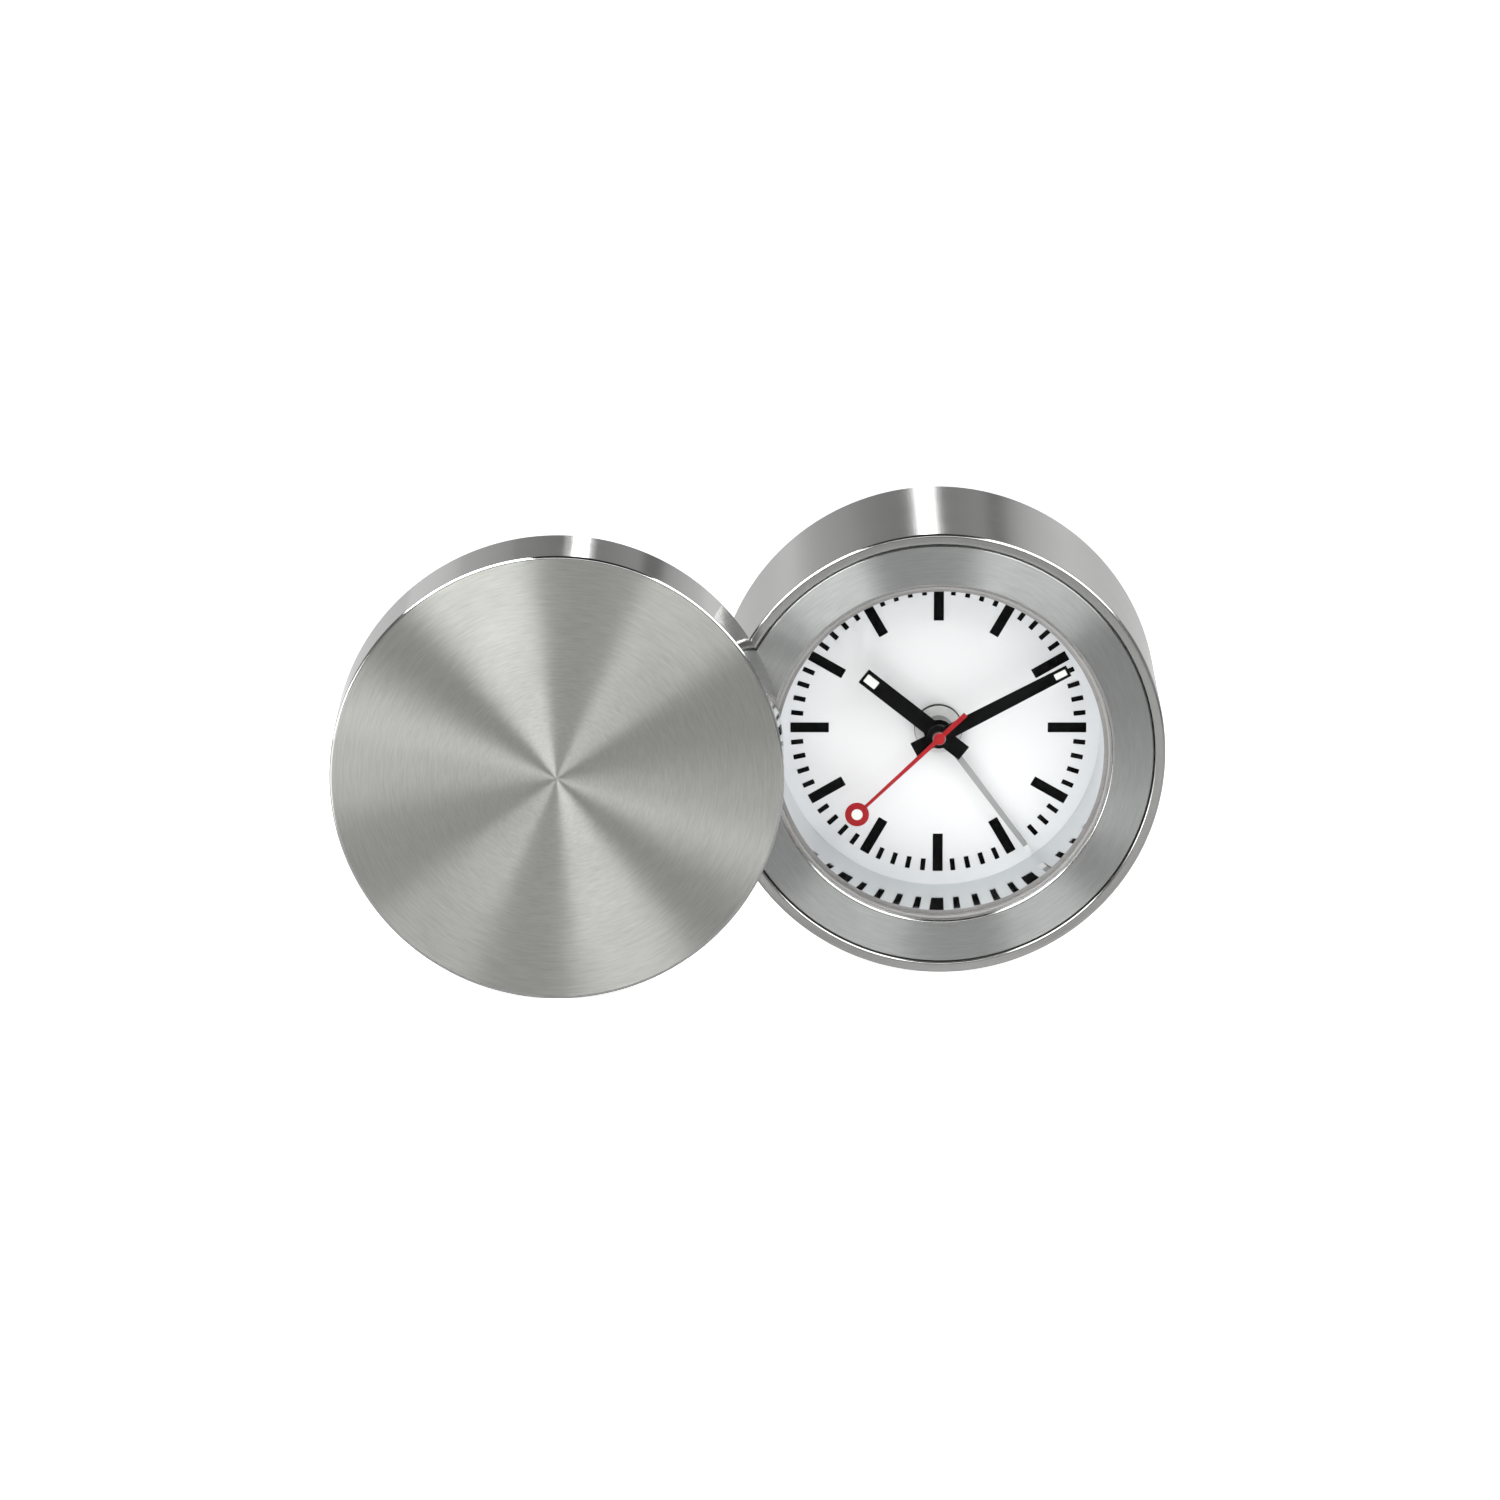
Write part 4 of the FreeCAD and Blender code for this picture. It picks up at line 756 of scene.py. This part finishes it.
def make_world():
    """Pale room: bright low down, darker above; the camera itself sees white."""
    world = bpy.data.worlds.new("studio")
    bpy.context.scene.world = world
    world.use_nodes = True
    tree = world.node_tree
    tree.nodes.clear()
    where = tree.nodes.new("ShaderNodeTexCoord")
    parts = tree.nodes.new("ShaderNodeSeparateXYZ")
    tree.links.new(where.outputs["Generated"], parts.inputs[0])
    ramp = tree.nodes.new("ShaderNodeValToRGB")
    tree.links.new(parts.outputs["Z"], ramp.inputs[0])
    fill_ramp(ramp.color_ramp, ROOM_LEVELS)
    behind = tree.nodes.new("ShaderNodeMapRange")
    tree.links.new(parts.outputs["Y"], behind.inputs[0])
    for socket, value in zip(behind.inputs[1:5], (*ROOM_TURN, ROOM_FRONT, 1.0)):
        socket.default_value = value
    room = tree.nodes.new("ShaderNodeBackground")
    tree.links.new(ramp.outputs[0], room.inputs[0])
    tree.links.new(behind.outputs[0], room.inputs[1])
    white = tree.nodes.new("ShaderNodeBackground")
    white.inputs[0].default_value = (1, 1, 1, 1)
    path = tree.nodes.new("ShaderNodeLightPath")
    mix = tree.nodes.new("ShaderNodeMixShader")
    tree.links.new(path.outputs["Is Camera Ray"], mix.inputs[0])
    tree.links.new(room.outputs[0], mix.inputs[1])
    tree.links.new(white.outputs[0], mix.inputs[2])
    out = tree.nodes.new("ShaderNodeOutputWorld")
    tree.links.new(mix.outputs[0], out.inputs["Surface"])


def make_floor():
    """Pale floor. It looks white from the camera; in the metal it darkens towards the front."""
    z = CAD_BOX[0].z
    finish = Finish("floor_pale", Roughness=0.9)
    finish.shader.inputs["Specular IOR Level"].default_value = 0.0
    finish.shader.inputs["Emission Color"].default_value = (1, 1, 1, 1)
    _, depth, _ = finish.parts(finish.place((0, 0, 0)))
    in_metal = finish.graded(depth, FLOOR_IN_METAL_GLOW)
    path = finish.node("ShaderNodeLightPath")
    mirrored = path.outputs["Is Glossy Ray"]
    direct = finish.value("SUBTRACT", 1.0, mirrored)
    finish.drive("Base Color", finish.blend(mirrored, FLOOR_COLOUR, FLOOR_IN_METAL))
    finish.drive("Emission Strength",
                 finish.value("ADD", finish.value("MULTIPLY", mirrored, in_metal),
                              finish.value("MULTIPLY", direct, FLOOR_GLOW)))
    sides = ((-1, -1), (1, -1), (1, 1), (-1, 1))
    card("floor", [(x * FLOOR_HALF, y * FLOOR_HALF, z) for x, y in sides], finish)


def make_lights():
    for name, near, far, radiance in OVERHEAD_PANELS:
        middle = (Vector(near) + Vector(far)) / 2
        across = (Vector(far) - Vector(near)).length
        panel = soft_panel(name, middle, (across, PANEL_LENGTH), radiance, middle - UP)
        lean = math.atan((far[2] - near[2]) / (far[0] - near[0]))
        panel.rotation_quaternion = Matrix.Rotation(-lean, 4, "Y").to_quaternion()
    for name, place, size, radiance, target in PANELS:
        panel = soft_panel(name, place, size, radiance, target)
        panel.visible_diffuse = name not in GLOSSY_ONLY
        panel.visible_glossy = name not in DIFFUSE_ONLY


def make_camera():
    forward = Vector((0, math.cos(CAMERA_RISE), -math.sin(CAMERA_RISE)))
    up = Vector((0, math.sin(CAMERA_RISE), math.cos(CAMERA_RISE)))
    bezel = Vector((CLOCK.x, FRONT_Y, CLOCK.z))
    right, down = CAMERA_ASIDE
    data = bpy.data.cameras.new("camera")
    data.sensor_width = SENSOR
    data.lens = CAMERA_LENS
    data.clip_start = CAMERA_CLIP
    camera = bpy.data.objects.new("camera", data)
    camera.location = bezel - Vector((right, 0, 0)) + up * down - forward * CAMERA_REACH
    camera.rotation_mode = "QUATERNION"
    camera.rotation_quaternion = forward.to_track_quat("-Z", "Y")
    bpy.context.scene.collection.objects.link(camera)
    bpy.context.scene.camera = camera


# ------------------------------------------------------------------ assembly
EASED = {                  # node and the width of its eased edges, mm
    "hour_hand": 0.05, "minute_hand": 0.05, "second_hand": 0.04, "alarm_hand": 0.04,
    "back_cover": 0.08, "battery_door": 0.12, "alarm_switch": 0.10,
    "time_set_knob": 0.08, "alarm_set_knob": 0.08, "back_cover_screws": 0.06,
    "movement_frame": 0.06, "battery_tray": 0.06, "lid_liner": 0.08, "pivot_pin": 0.08,
    "battery_cell": 0.12, "dial_nut": 0.04,
}


def make_eased_pieces():
    for node, width in EASED.items():
        slot_name = NODES[node].data.materials[0].name
        eased_piece(node + "_eased", node, slot_name, width * MM)


def finish_frame_nodes():
    """Gives every CAD node that stays its finished material."""
    for node in NODES.values():
        for slot in node.material_slots:
            slot.material = MATERIALS[slot.material.name]


make_case()
make_bezel()
make_ring("reflector", "reflector_ring", ["reflector_metal", "gasket_nylon"], FINE_EDGE)
make_ring("gasket", "crystal_gasket", ["gasket_nylon"], SOFT_EDGE)
make_crystal()
make_lid()
make_eased_pieces()
finish_frame_nodes()
make_world()
make_floor()
make_lights()
make_backdrop()
make_camera()
bpy.context.scene.view_settings.view_transform = "Standard"
